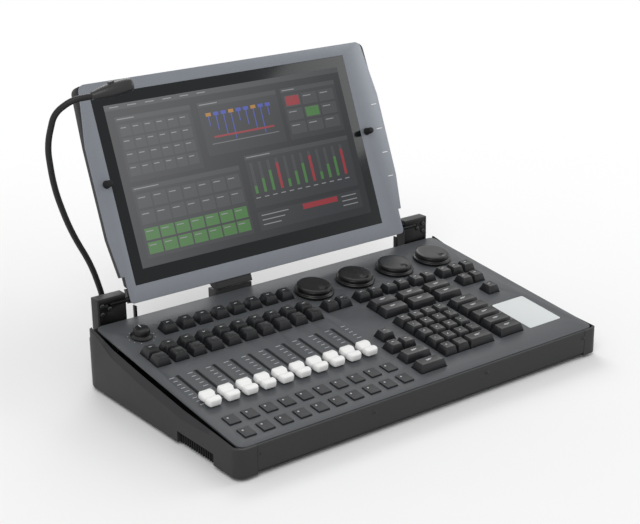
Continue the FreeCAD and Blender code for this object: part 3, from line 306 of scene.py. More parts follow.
def painted_reflection_group() -> bpy.types.NodeTree:
    """Build the shared group that paints a pale reflection over the upper left of the screen.

    Returns:
        The node group, with a colour.
    """
    group = bpy.data.node_groups.new("screen_painted_reflection", "ShaderNodeTree")
    faces = group.interface
    colour = faces.new_socket("Colour", in_out="INPUT", socket_type="NodeSocketColor")
    colour.default_value = (0.1, 0.1, 0.1, 1)
    strength = faces.new_socket("Strength", in_out="INPUT", socket_type="NodeSocketFloat")
    strength.default_value = 0.05
    faces.new_socket("Colour", in_out="OUTPUT", socket_type="NodeSocketColor")
    nodes, link = group.nodes, group.links.new
    given, result = nodes.new("NodeGroupInput"), nodes.new("NodeGroupOutput")
    place, slope = nodes.new("ShaderNodeTexCoord"), nodes.new("ShaderNodeVectorMath")
    slope.operation = "DOT_PRODUCT"
    slope.inputs[1].default_value = PAINTED_REFLECTION_SLOPE
    link(place.outputs["Object"], slope.inputs[0])
    share = soft_step(group, slope.outputs["Value"], PAINTED_REFLECTION_START, PAINTED_REFLECTION_END)
    added = nodes.new("ShaderNodeVectorMath")
    added.operation = "ADD"
    link(given.outputs["Colour"], added.inputs[0])
    link(maths(group, "MULTIPLY", share, given.outputs["Strength"]), added.inputs[1])
    link(added.outputs[0], result.inputs["Colour"])
    return group


GRAIN = grain_group()
PAINTED_REFLECTION = painted_reflection_group()


class Sheen(Enum):
    """How the light lies on a finish."""

    DULL = 0.12
    SATIN = 0.22
    BRIGHT = 0.34


@dataclass(frozen=True)
class Finish:
    """One finish of the desk, made as a node material."""

    name: str
    colour: Point
    roughness: float
    slot: str
    metallic: float = 0.0
    grain_size: float = 1500.0
    grain_depth: float = 0.00002
    grain_shade: float = 0.12
    marks: float = 0.1
    sheen: Sheen = Sheen.SATIN
    glow: float = 0.0
    # Strength of the painted reflection over the upper left of a glowing screen colour.
    painted_reflection: float = 0.0

    def material(self) -> bpy.types.Material:
        """Build the material once and give it back each time.

        Returns:
            The material.
        """
        made = bpy.data.materials.get(self.name)
        if made:
            return made
        made = bpy.data.materials.new(self.name)
        made.use_nodes = True
        nodes, link = made.node_tree.nodes, made.node_tree.links.new
        shader = nodes["Principled BSDF"]
        grain = nodes.new("ShaderNodeGroup")
        grain.node_tree = GRAIN
        grain.inputs["Colour"].default_value = (*self.colour, 1)
        grain.inputs["Roughness"].default_value = self.roughness
        grain.inputs["Grain size"].default_value = self.grain_size
        grain.inputs["Grain shade"].default_value = self.grain_shade
        grain.inputs["Marks"].default_value = self.marks
        link(grain.outputs["Colour"], shader.inputs["Base Color"])
        link(grain.outputs["Roughness"], shader.inputs["Roughness"])
        bump = nodes.new("ShaderNodeBump")
        bump.inputs["Strength"].default_value = BUMP_STRENGTH
        bump.inputs["Distance"].default_value = self.grain_depth
        link(grain.outputs["Height"], bump.inputs["Height"])
        link(bump.outputs["Normal"], shader.inputs["Normal"])
        shader.inputs["Metallic"].default_value = self.metallic
        shader.inputs["Specular IOR Level"].default_value = self.sheen.value
        if self.glow:
            self.light_up(made, shader, grain)
        return made

    def light_up(self, made: bpy.types.Material, shader: bpy.types.Node,
                 grain: bpy.types.Node) -> None:
        """Make a screen colour glow, with a painted pale reflection over its upper left.

        Args:
            made: The material.
            shader: Its surface shader.
            grain: Its grain group, whose colour glows.
        """
        nodes, link = made.node_tree.nodes, made.node_tree.links.new
        # Painted reflection: a pale gradient added to the glowing colour.
        reflection_node = nodes.new("ShaderNodeGroup")
        reflection_node.node_tree = PAINTED_REFLECTION
        reflection_node.inputs["Strength"].default_value = self.painted_reflection
        link(grain.outputs["Colour"], reflection_node.inputs["Colour"])
        link(reflection_node.outputs["Colour"], shader.inputs["Emission Color"])
        shader.inputs["Emission Strength"].default_value = self.glow


CASE_BLACK = Finish("case_powder_coat", (0.03, 0.03, 0.031), 0.5, "case_black", grain_size=1300,
                    grain_depth=0.00004, grain_shade=0.2)
PANEL_GREY = Finish("panel_powder_coat", (0.072, 0.077, 0.083), 0.45, "panel_grey", grain_size=1500,
                    grain_depth=0.00003, grain_shade=0.16)
DISPLAY_GREY = Finish("display_satin_paint", (0.2, 0.215, 0.24), 0.36, "display_grey", metallic=0.35,
                      grain_size=2200, grain_depth=0.00001, grain_shade=0.1, marks=0.05)
BRACKET = Finish("bracket_black", (0.005, 0.005, 0.0055), 0.34, "bracket_steel")
# Painted shade: a darker copy of the case colour for the hollow under each cheek's upper edge.
SCOOP_PAINTED_SHADE = Finish("case_hollow_painted_shade", (0.02, 0.02, 0.022), 0.46, "case_black", grain_size=1300,
                     grain_depth=0.00004, grain_shade=0.2)
ZINC = Finish("screw_zinc", (0.6, 0.6, 0.6), 0.28, "screw_steel", metallic=1.0, marks=0.15)
BLACK_SCREW = Finish("screw_black", (0.05, 0.05, 0.052), 0.3, "screw_steel", metallic=0.8)
KEY_BLACK = Finish("key_plastic", (0.0125, 0.013, 0.0145), 0.34, "black_key", grain_size=2400,
                   grain_depth=0.00001, marks=0.16, sheen=Sheen.BRIGHT)
BUTTON_DARK = Finish("button_plastic", (0.022, 0.023, 0.025), 0.42, "dark_button", grain_size=2400,
                     grain_depth=0.000012, marks=0.12)
CAP_WHITE = Finish("fader_white", (0.83, 0.83, 0.82), 0.34, "white_cap", grain_shade=0.02, marks=0.03,
                   grain_depth=0.000006)
WHEEL_BLACK = Finish("wheel_soft_black", (0.006, 0.006, 0.0065), 0.32, "wheel_black", grain_size=2600,
                     grain_depth=0.000008, marks=0.2, sheen=Sheen.BRIGHT)
PAD_GREY = Finish("touchpad_light", (0.62, 0.65, 0.65), 0.3, "pad_grey", grain_size=3000,
                  grain_shade=0.03, grain_depth=0.000006, marks=0.05)
GLASS_BLACK = Finish("screen_glass_black", (0.006, 0.008, 0.009), 0.14, "screen_glass", grain_shade=0.0,
                     grain_depth=0.000001, marks=0.02)
RUBBER = Finish("rubber_black", (0.02, 0.02, 0.021), 0.62, "foot_rubber", grain_size=900,
                grain_depth=0.00005, sheen=Sheen.DULL)
SLEEVE = Finish("gooseneck_sleeve", (0.015, 0.015, 0.016), 0.42, "tube_black", grain_size=1200)
VENT_BLACK = Finish("vent_black", (0.012, 0.012, 0.013), 0.6, "component", sheen=Sheen.DULL)
SOCKET_BLACK = Finish("socket_plastic", (0.02, 0.02, 0.021), 0.36, "socket_black")
LAMP_GREY = Finish("lamp_plastic", (0.02, 0.02, 0.022), 0.36, "socket_black", grain_size=1800,
                    sheen=Sheen.BRIGHT)
LENS = Finish("lamp_lens_clear", (0.72, 0.75, 0.8), 0.14, "lens_clear", grain_shade=0, marks=0.02)
BOARD_GREEN = Finish("board_green", (0.02, 0.1, 0.05), 0.4, "circuit")
PART_DARK = Finish("component_dark", (0.03, 0.03, 0.035), 0.5, "component")
LEGEND = Finish("legend_white", (0.78, 0.79, 0.8), 0.5, "white_cap", grain_shade=0, marks=0.04,
                grain_depth=0.000002)
LEGEND_DIM = Finish("legend_grey", (0.46, 0.47, 0.49), 0.5, "white_cap", grain_shade=0, marks=0.04,
                    grain_depth=0.000002)


# ---------------------------------------------------------------------------------------------
# Modelling
# ---------------------------------------------------------------------------------------------
def select_only(*pieces: bpy.types.Object) -> None:
    """Select these objects alone and make the first one active.

    Args:
        pieces: The objects.
    """
    bpy.ops.object.select_all(action="DESELECT")
    for piece in pieces:
        piece.select_set(True)
    bpy.context.view_layer.objects.active = pieces[0]


def named(name: str) -> bpy.types.Object:
    """Name the active object and its mesh.

    Args:
        name: The new name.

    Returns:
        The active object.
    """
    piece = bpy.context.object
    piece.name = piece.data.name = name
    return piece


def block(name: str, low: Sequence[float], high: Sequence[float]) -> bpy.types.Object:
    """Add a box between two corners.

    Args:
        name: The new object's name.
        low: Its low corner.
        high: Its high corner.

    Returns:
        The object, with its place in its mesh.
    """
    bpy.ops.object.select_all(action="DESELECT")
    centre = [(a + b) / 2 for a, b in zip(low, high)]
    bpy.ops.mesh.primitive_cube_add(size=1, location=centre)
    piece = named(name)
    piece.scale = [b - a for a, b in zip(low, high)]
    bpy.ops.object.transform_apply(location=True, rotation=True, scale=True)
    return piece


def edit_faces(piece: bpy.types.Object, chosen: Test, *steps: Callable[[], object]) -> None:
    """Select faces by centre and normal, and run edit-mode steps on them.

    Args:
        piece: The object.
        chosen: Test of a face's centre and normal.
        steps: Calls made in edit mode, in order.
    """
    select_only(piece)
    bpy.ops.object.mode_set(mode="EDIT")
    bpy.ops.mesh.select_mode(type="FACE")
    bpy.ops.mesh.select_all(action="DESELECT")
    bpy.ops.object.mode_set(mode="OBJECT")
    for face in piece.data.polygons:
        face.select = chosen(face.center, face.normal)
    bpy.ops.object.mode_set(mode="EDIT")
    for step in steps:
        step()
    bpy.ops.object.mode_set(mode="OBJECT")


def facing_up(centre: Vector, normal: Vector) -> bool:
    """Whether a face looks out along +Z."""
    return normal.z > 0.9


def apply_modifier(piece: bpy.types.Object, kind: str, **settings: object) -> None:
    """Add a modifier, set it up and apply it.

    Args:
        piece: The object.
        kind: Blender's name of the modifier's type.
        settings: The modifier's properties.
    """
    select_only(piece)
    modifier = piece.modifiers.new(kind.lower(), kind)
    for key, value in settings.items():
        setattr(modifier, key, value)
    bpy.ops.object.modifier_apply(modifier=modifier.name)


def bevel(piece: bpy.types.Object, width: float, segments: int = 2, angle: float = 30) -> None:
    """Round the sharp edges of a piece."""
    apply_modifier(piece, "BEVEL", width=width, segments=segments, limit_method="ANGLE",
                   angle_limit=math.radians(angle), harden_normals=False, use_clamp_overlap=True)


def smooth(piece: bpy.types.Object, angle: float = 35) -> None:
    """Shade a piece smooth, apart from its sharp edges."""
    select_only(piece)
    bpy.ops.object.shade_smooth_by_angle(angle=math.radians(angle))


def carve(piece: bpy.types.Object, *tools: bpy.types.Object) -> None:
    """Cut tools out of a piece and delete them.

    Args:
        piece: The piece that is cut.
        tools: The objects that cut it.
    """
    for tool in tools:
        apply_modifier(piece, "BOOLEAN", operation="DIFFERENCE", object=tool, solver="EXACT")
        bpy.data.objects.remove(tool)


def join(name: str, pieces: Sequence[bpy.types.Object]) -> bpy.types.Object:
    """Join pieces into one object of a new name.

    Args:
        name: The new name.
        pieces: What is joined.

    Returns:
        The joined object.
    """
    select_only(*pieces)
    if len(pieces) > 1:
        bpy.ops.object.join()
    return named(name)


def copy_at(master: bpy.types.Object, offset: Sequence[float], turn: Matrix | None = None
            ) -> bpy.types.Object:
    """Copy a master, with its own mesh, to a place.

    Args:
        master: The object to copy.
        offset: How far the copy is moved.
        turn: A turn made before the move.

    Returns:
        The copy.
    """
    made = master.copy()
    made.data = master.data.copy()
    bpy.context.scene.collection.objects.link(made)
    made.data.transform(Matrix.Translation(offset) @ (turn or Matrix.Identity(4)))
    return made


def turned(name: str, profile: Sequence[tuple[float, float]], steps: int = 64,
           axis: str = "Z") -> bpy.types.Object:
    """Spin a profile of radius and height into a closed solid.

    Args:
        name: The new object's name.
        profile: Pairs of radius and height, from the axis round to the axis.
        steps: Steps of the spin.
        axis: The axis that the height then runs along.

    Returns:
        The object.
    """
    mesh = bpy.data.meshes.new(name)
    mesh.from_pydata([(radius, 0, height) for radius, height in profile],
                     [(index, index + 1) for index in range(len(profile) - 1)], [])
    piece = bpy.data.objects.new(name, mesh)
    bpy.context.scene.collection.objects.link(piece)
    select_only(piece)
    bpy.ops.object.mode_set(mode="EDIT")
    bpy.ops.mesh.select_all(action="SELECT")
    bpy.ops.mesh.spin(steps=steps, angle=2 * math.pi, center=(0, 0, 0), axis=(0, 0, 1))
    bpy.ops.mesh.select_all(action="SELECT")
    bpy.ops.mesh.remove_doubles(threshold=1e-6)
    bpy.ops.mesh.normals_make_consistent(inside=False)
    bpy.ops.object.mode_set(mode="OBJECT")
    if axis == "Y":
        piece.data.transform(Matrix.Rotation(math.radians(-90), 4, "X"))
    if axis == "X":
        piece.data.transform(Matrix.Rotation(math.radians(90), 4, "Y"))
    return piece


def moved(piece: bpy.types.Object, place: Sequence[float]) -> bpy.types.Object:
    """Move a piece's mesh and give the piece back."""
    piece.data.transform(Matrix.Translation(place))
    return piece


def middle(low: Vector, high: Vector, axis: int) -> float:
    """The middle of a box along an axis."""
    return (low[axis] + high[axis]) / 2


def pan_head(radius: float) -> bpy.types.Object:
    """Turn a low screw head with a driver recess, on a foot at z = 0.

    Args:
        radius: The head's radius.

    Returns:
        The head, looking along +Z.
    """
    outline = ((0, 0), (1, 0), (0.97, 0.14), (0.75, 0.3), (0.45, 0.34), (0.4, 0.12), (0, 0.12))
    return turned("screw", [(radius * out, radius * up) for out, up in outline], 24)


def paint(piece: bpy.types.Object, *finishes: Finish) -> None:
    """Give a piece its materials, in slot order.

    Args:
        piece: The piece.
        finishes: Its finishes.
    """
    piece.data.materials.clear()
    for finish in finishes:
        piece.data.materials.append(finish.material())


def fit(piece: bpy.types.Object, body: str, finish: Finish, replaces: Sequence[str] = (),
        where: LocalFrame = ROW, keep_materials: bool = False) -> bpy.types.Object:
    """Set a finished piece in the row frame, on its body, in its finish.

    Args:
        piece: The finished piece.
        body: The body that it moves with.
        finish: Its finish, or the slot's finish where it keeps its own materials.
        replaces: CAD nodes that it stands for.
        where: The frame it was built in.
        keep_materials: Whether its materials are already set.

    Returns:
        The piece.
    """
    if where is not ROW:
        piece.data.transform(where.matrix)
    if not keep_materials:
        paint(piece, finish)
    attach(piece, body)
    if replaces:
        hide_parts(*replaces)
    LOG.info("%s: %d faces on %s", piece.name, len(piece.data.polygons), body)
    return piece


def fit_set(name: str, pieces: Sequence[bpy.types.Object], body: str, finish: Finish,
            replaces: Sequence[str] = (), where: LocalFrame = ROW, soft: float = 35
            ) -> bpy.types.Object:
    """Join pieces, shade them smooth and fit them as one.

    Args:
        name: The joined piece's name.
        pieces: What is joined.
        body: The body that it moves with.
        finish: Its finish.
        replaces: CAD nodes that it stands for.
        where: The frame it was built in.
        soft: Edges blunter than this are shaded smooth.

    Returns:
        The joined piece.
    """
    joined = join(name, pieces)
    smooth(joined, soft)
    return fit(joined, body, finish, replaces, where)


def refined(node: str, name: str, finish: Finish, width: float, segments: int = 2,
            angle: float = 30, soft: float = 32) -> bpy.types.Object:
    """Stand for a CAD node with a merged copy whose edges are rounded.

    Args:
        node: The CAD node.
        name: The new piece's name.
        finish: Its finish.
        width: Width of the rounded edges.
        segments: Steps across a rounded edge.
        angle: Edges sharper than this are rounded.
        soft: Edges blunter than this are shaded smooth.

    Returns:
        The piece.
    """
    source = frame["nodes"][node]
    piece = bpy.data.objects.new(name, source.data.copy())
    piece.data.name = name
    bpy.context.scene.collection.objects.link(piece)
    select_only(piece)
    bpy.ops.object.mode_set(mode="EDIT")
    bpy.ops.mesh.select_all(action="SELECT")
    bpy.ops.mesh.remove_doubles(threshold=2e-6)
    bpy.ops.mesh.select_all(action="SELECT")
    bpy.ops.mesh.dissolve_limited(angle_limit=math.radians(0.4))
    bpy.ops.object.mode_set(mode="OBJECT")
    if "custom_normal" in piece.data.attributes:
        select_only(piece)
        bpy.ops.mesh.customdata_custom_splitnormals_clear()
    bevel(piece, width, segments, angle)
    smooth(piece, soft)
    body = next(name for name, empty in frame["bodies"].items() if empty == source.parent)
    return fit(piece, body, finish, [node])


def dress_node(node: str, finish: Finish) -> None:
    """Give a CAD node that keeps its shape its finish.

    Args:
        node: The node's name.
        finish: Its finish.
    """
    held = frame["nodes"][node].data
    held.materials.clear()
    held.materials.append(finish.material())


# ---------------------------------------------------------------------------------------------
# Case
# ---------------------------------------------------------------------------------------------
@dataclass
class Case:
    """The case walls, the control panel, the towers and what is fixed to them."""

    soft_edge: float = 0.0008
    fine_edge: float = 0.0004
    walls: Sequence[str] = ("left_cheek", "right_cheek", "front_fascia")
    steel: Sequence[str] = ("rear_panel", "rear_deck", "base_tray")
    tick_rows: int = 9
    tick_pitch: float = 7.5 * MM
    tick_half_height: float = 0.42 * MM
    long_tick_half: float = 3.1 * MM
    short_tick_half: float = 2.6 * MM
    tick_shift: float = 3.5 * MM
    arc_radius: float = 15.6 * MM
    arc_dot: float = 0.45 * MM
    fader_travel: float = 60 * MM
    slot_half: float = 1.25 * MM
    trim_half: float = 2.3 * MM

    def build(self) -> None:
        """Make and fit every fixed outer piece."""
        for node in self.walls:
            wall = refined(node, f"{node}_shell", CASE_BLACK, self.soft_edge, 2, 12, 13)
            self.hollow(wall)
        for node in self.steel:
            refined(node, f"{node}_sheet", CASE_BLACK, self.fine_edge)
        for node in ("left_tower", "right_tower"):
            refined(node, f"{node}_shell", CASE_BLACK, self.soft_edge, 3)
        refined("top_panel", "control_panel", PANEL_GREY, 0.00025)
        refined("hinge_plates", "hinge_plate_pair", BRACKET, 0.0002)
        refined("cable_saddle", "cable_saddle_shell", CASE_BLACK, self.soft_edge)
        refined("touchpad", "touchpad_surface", PAD_GREY, 0.0003)
        refined("vent_grilles", "vent_louvres", VENT_BLACK, 0.0001, 1)
        refined("dmx_sockets", "data_sockets", SOCKET_BLACK, 0.0003)
        refined("power_inlet", "power_inlet_shell", SOCKET_BLACK, 0.0003)
        for node, finish in (("control_board", BOARD_GREEN), ("main_board", BOARD_GREEN),
                             ("power_supply", ZINC), ("fader_bodies", PART_DARK),
                             ("rotary_bodies", ZINC), ("switch_bodies", PART_DARK),
                             ("lamp_socket", ZINC)):
            dress_node(node, finish)
        self.feet()
        self.screws()
        self.scales()

    def hollow(self, wall: bpy.types.Object) -> None:
        """Give the hollow under a cheek's upper edge a darker colour, as painted shade.

        Args:
            wall: The case wall.
        """
        wall.data.materials.append(SCOOP_PAINTED_SHADE.material())
        # Painted shade: faces of the hollow, picked by their slant, take the darker colour.
        for face in wall.data.polygons:
            if 0.85 < abs(face.normal.x) < 0.985 and face.normal.z > 0.1:
                face.material_index = 1

    def feet(self) -> None:
        """Turn a rubber foot with a soft edge and a screw hollow at each foot's place."""
        pieces = []
        for low, high in solids("feet", ROW):
            radius, tall = (high.x - low.x) / 2, high.z - low.z
            foot = turned("foot", [(0, 0.0012), (0.0035, 0.0012), (0.004, 0), (radius - 0.0022, 0),
                                   (radius - 0.0013, 0.0009), (radius, tall - 0.0006),
                                   (radius, tall), (0, tall)], 48)
            pieces.append(moved(foot, (middle(low, high, 0), middle(low, high, 1), low.z)))
        fit_set("rubber_feet", pieces, "case", RUBBER, ["feet"])

    def screws(self) -> None:
        """Make each screw with a rounded head and a driver recess."""
        tower, fascia = [], []
        for low, high in solids("case_screws", ROW):
            radius = (high.x - low.x) / 2
            deep = high.y - low.y
            head = turned("screw", [(0, deep), (radius * 0.5, deep), (radius * 0.98, 0.0007),
                                    (radius, 0.0005), (radius * 0.8, 0.0001), (radius * 0.45, 0),
                                    (radius * 0.4, 0.0006), (0, 0.0006)], 24, "Y")
            moved(head, (middle(low, high, 0), low.y, middle(low, high, 2)))
            (fascia if deep < 1 * MM else tower).append(head)
        fit_set("tower_screws", tower, "case", BLACK_SCREW, ["case_screws"])
        fit_set("fascia_screws", fascia, "case", BLACK_SCREW, ["case_screws"])

    def scales(self) -> None:
        """Print the fader scales and the knob's arc on the panel, as thin raised ink."""
        ink = []
        rows = solids("fader_bodies", PANEL)
        pitch = (rows[-1][0].x - rows[0][0].x) / (len(rows) - 1)
        cap_low, cap_high = PANEL.box_of(node_points("fader_cap_1"))
        parked = middle(cap_low, cap_high, 1)
        first = middle(*rows[0], 0) - pitch / 2 + self.tick_shift
        for column in range(len(rows) + 1):
            for row in range(self.tick_rows):
                x, v = first + column * pitch, parked + 1 * MM + row * self.tick_pitch
                half = self.short_tick_half if row % 4 else self.long_tick_half
                ink.append(block("tick", (x - half, v - self.tick_half_height, -0.05 * MM),
                                 (x + half, v + self.tick_half_height, 0.08 * MM)))
        marks = join("fader_scales", ink)
        fit(marks, "case", LEGEND_DIM, where=PANEL)
        self.slot_trims(parked)
        centre = PANEL.inside(Vector(joint("level_knob_turn")["pos_m"]))
        dots = []
        for step in range(11):
            angle = math.radians(-60 + 30 * step)
            dot = turned("dot", [(0, -0.02 * MM), (self.arc_dot, -0.02 * MM),
                                 (self.arc_dot, 0.05 * MM), (0, 0.05 * MM)], 10)
            dots.append(moved(dot, (centre.x + self.arc_radius * math.cos(angle),
                                    centre.y + self.arc_radius * math.sin(angle), 0)))
        fit(join("level_scale", dots), "case", LEGEND, where=PANEL)

    def slot_trims(self, parked: float) -> None:
        """Edge each fader slot with a black trim on both sides.

        Args:
            parked: Where the caps' middles rest, up the panel.
        """
        trims = []
        for number in range(1, 11):
            low, high = PANEL.box_of(node_points(f"fader_cap_{number}"))
            x = middle(low, high, 0)
            near, far = parked - 3.2 * MM, parked + self.fader_travel + 3.4 * MM
            for side in (-1, 1):
                left, right = sorted((x + side * self.slot_half, x + side * self.trim_half))
                trims.append(block("trim", (left, near, -0.05 * MM), (right, far, 0.12 * MM)))
        fit(join("fader_slot_trims", trims), "case", BRACKET, where=PANEL)


# ---------------------------------------------------------------------------------------------
# Keys, faders and wheels
# ---------------------------------------------------------------------------------------------
@dataclass
class Keyboard:
    """The sculpted keys and the flat buttons."""

    groups: Sequence[str] = ("rear_cue_keys", "middle_cue_keys", "front_cue_keys", "number_keys",
                             "wide_keys", "encoder_keys", "side_keys")
    flat_groups: Sequence[str] = ("rear_flash_buttons", "front_flash_buttons")
    taper: float = 0.0030
    dish: float = 0.0004
    digits: Sequence[str] = ("0", ".", "", "1", "2", "3", "-", "4", "5", "6", "+", "7", "8", "9", "/")
    digit_size: float = 4.6 * MM
    ink: float = 0.05 * MM
    wide_key: float = 0.03
    masters: dict[int, bpy.types.Object] = field(default_factory=dict)

    def build(self) -> None:
        """Make every group of keys."""
        for group in self.groups:
            self.sculpted(group)
        for group in self.flat_groups:
            self.flat(group)
        for master in self.masters.values():
            bpy.data.objects.remove(master)

    def master(self, wide: float, deep: float, tall: float) -> bpy.types.Object:
        """Model one key cap, centred on its foot, once for each width.

        Args:
            wide: Width of its foot.
            deep: Depth of its foot.
            tall: Height of the cap.

        Returns:
            The master cap.
        """
        code = round(wide / MM)
        if code in self.masters:
            return self.masters[code]
        cap = block("key_master", (-wide / 2, -deep / 2, 0), (wide / 2, deep / 2, tall))
        top_x, top_y = 1 - 2 * self.taper / wide, 1 - 2 * self.taper / deep
        edit_faces(cap, facing_up,
                   lambda: bpy.ops.transform.resize(value=(top_x, top_y, 1)),
                   lambda: bpy.ops.mesh.inset(thickness=0.0016, depth=0),
                   lambda: bpy.ops.transform.translate(value=(0, 0, -self.dish)),
                   lambda: bpy.ops.mesh.inset(thickness=0.0022, depth=0),
                   lambda: bpy.ops.transform.translate(value=(0, 0, -self.dish * 0.6)))
        bevel(cap, 0.00045, 2, 40)
        smooth(cap, 40)
        self.masters[code] = cap
        return cap

    def sculpted(self, group: str) -> None:
        """Copy the cap to each key of a group and print its legend.

        Args:
            group: The CAD node of the keys.
        """
        caps, legends = [], []
        for number, (low, high) in enumerate(solids(group, PANEL)):
            wide, deep = high.x - low.x, high.y - low.y
            centre = (middle(low, high, 0), middle(low, high, 1), 0)
            caps.append(copy_at(self.master(wide, deep, high.z), centre))
            legends += self.legend(group, number, centre, wide, high.z - self.dish * 1.6)
        cap_set = join(f"{group}_caps", caps)
        fit(cap_set, group, KEY_BLACK, [group], PANEL)
        if legends:
            fit(join(f"{group}_legends", legends), group, LEGEND, where=PANEL)

    def legend(self, group: str, number: int, centre: Point, wide: float, height: float
               ) -> list[bpy.types.Object]:
        """Print a generic mark on one key: a digit on the number keys, a short bar elsewhere.

        Args:
            group: The key's group.
            number: The key's place in its group.
            centre: The middle of its foot.
            wide: The width of its foot.
            height: The height of its top.

        Returns:
            The mark's pieces.
        """
        x, v = centre[0], centre[1] + 2.2 * MM
        if group == "number_keys" and number < len(self.digits) and self.digits[number]:
            return [self.digit(self.digits[number], x - 0.5 * MM, v - 1.6 * MM, height)]
        if group == "front_cue_keys":
            return []
        half = 4.2 * MM if wide > self.wide_key else 1.8 * MM
        thick, low, high = 0.3 * MM, height - self.ink, height + self.ink
        bars = [block("bar", (x - half, v - thick, low), (x + half, v + thick, high))]
        if wide > self.wide_key:
            bars.append(block("bar", (x - half, v - 1.7 * MM, low),
                              (x + half * 0.3, v - 1.2 * MM, high)))
        return bars

    def digit(self, text: str, x: float, v: float, height: float) -> bpy.types.Object:
        """Set one generic character as a thin mesh on a key's top.

        Args:
            text: The character.
            x: Its place across the panel.
            v: Its place up the panel.
            height: The height of the key's top.

        Returns:
            The character.
        """
        bpy.ops.object.select_all(action="DESELECT")
        bpy.ops.object.text_add(location=(0, 0, 0))
        shape = bpy.context.object
        shape.data.body = text
        shape.data.size = self.digit_size
        shape.data.extrude = self.ink
        shape.data.align_x = "CENTER"
        bpy.ops.object.convert(target="MESH")
        return moved(named("digit"), (x, v, height))

    def flat(self, group: str) -> None:
        """Make a row of flat buttons, each with a small indicator at its rear left.

        Args:
            group: The CAD node of the buttons.
        """
        caps, dots = [], []
        for low, high in solids(group, PANEL):
            cap = block("flat", (low.x, low.y, -0.002), (high.x, high.y, high.z))
            edit_faces(cap, facing_up, lambda: bpy.ops.mesh.inset(thickness=0.0012, depth=0),
                       lambda: bpy.ops.transform.translate(value=(0, 0, -0.00015)))
            bevel(cap, 0.0003, 2, 40)
            caps.append(cap)
            dot = turned("dot", [(0, 0), (0.0011, 0), (0.0011, 0.0002), (0.0008, 0.0003),
                                 (0, 0.0003)], 20)
            dots.append(moved(dot, (low.x + 0.0045, high.y - 0.0045, high.z - 0.0002)))
        fit_set(f"{group}_caps", caps, group, BUTTON_DARK, [group], PANEL)
        fit_set(f"{group}_dots", dots, group, LEGEND_DIM, where=PANEL)


@dataclass
class Faders:
    """The white fader caps."""

    count: int = 10
    waist: float = 0.0016
    valley: float = 0.0027

    def build(self) -> None:
        """Model one cap and copy it to every fader."""
        low, high = PANEL.box_of(node_points("fader_cap_1"))
        wide, long, top = high.x - low.x, high.y - low.y, high.z
        cap = block("cap_master", (-wide / 2, -long / 2, 1.6 * MM), (wide / 2, long / 2, top))
        select_only(cap)
        bpy.ops.object.mode_set(mode="EDIT")
        for share in (-0.46, -0.4, -0.3, -0.2, -0.12, -0.05, 0.05, 0.12, 0.2, 0.3, 0.4, 0.46):
            bpy.ops.mesh.select_all(action="SELECT")
            bpy.ops.mesh.bisect(plane_co=(0, long * share, 0), plane_no=(0, 1, 0))
        for share in (-0.36, 0, 0.36):
            bpy.ops.mesh.select_all(action="SELECT")
            bpy.ops.mesh.bisect(plane_co=(wide * share, 0, 0), plane_no=(1, 0, 0))
        bpy.ops.mesh.select_all(action="SELECT")
        bpy.ops.mesh.bisect(plane_co=(0, 0, top - 1.4 * MM), plane_no=(0, 0, 1))
        bpy.ops.object.mode_set(mode="OBJECT")
        for vertex in cap.data.vertices:
            reach = abs(vertex.co.y) / (long / 2)
            nip = math.exp(-(vertex.co.y / (2.2 * MM)) ** 2)
            vertex.co.x *= 1 - 2 * self.waist / wide * nip - 0.3 * reach ** 8
            if vertex.co.z > top - 0.5 * MM:
                vertex.co.x *= 0.86
                vertex.co.y *= 0.95
                vertex.co.z -= self.valley * math.exp(-(vertex.co.y / (2.9 * MM)) ** 2)
                vertex.co.z -= 1.1 * MM * reach ** 6
            elif vertex.co.z > 4 * MM:
                vertex.co.z -= self.valley * 0.8 * math.exp(-(vertex.co.y / (2.9 * MM)) ** 2)
        apply_modifier(cap, "SUBSURF", levels=1, render_levels=1)
        smooth(cap, 60)
        for number in range(1, self.count + 1):
            node = f"fader_cap_{number}"
            near, far = PANEL.box_of(node_points(node))
            centre = ((near.x + far.x) / 2, (near.y + far.y) / 2, 0)
            made = copy_at(cap, centre)
            stem = block("blade", (centre[0] - 0.6 * MM, centre[1] - 2.5 * MM, near.z),
                         (centre[0] + 0.6 * MM, centre[1] + 2.5 * MM, 2.2 * MM))
            made = join(f"fader_{number}_cap", [made, stem])
            fit(made, node, CAP_WHITE, [node], PANEL)
        bpy.data.objects.remove(cap)


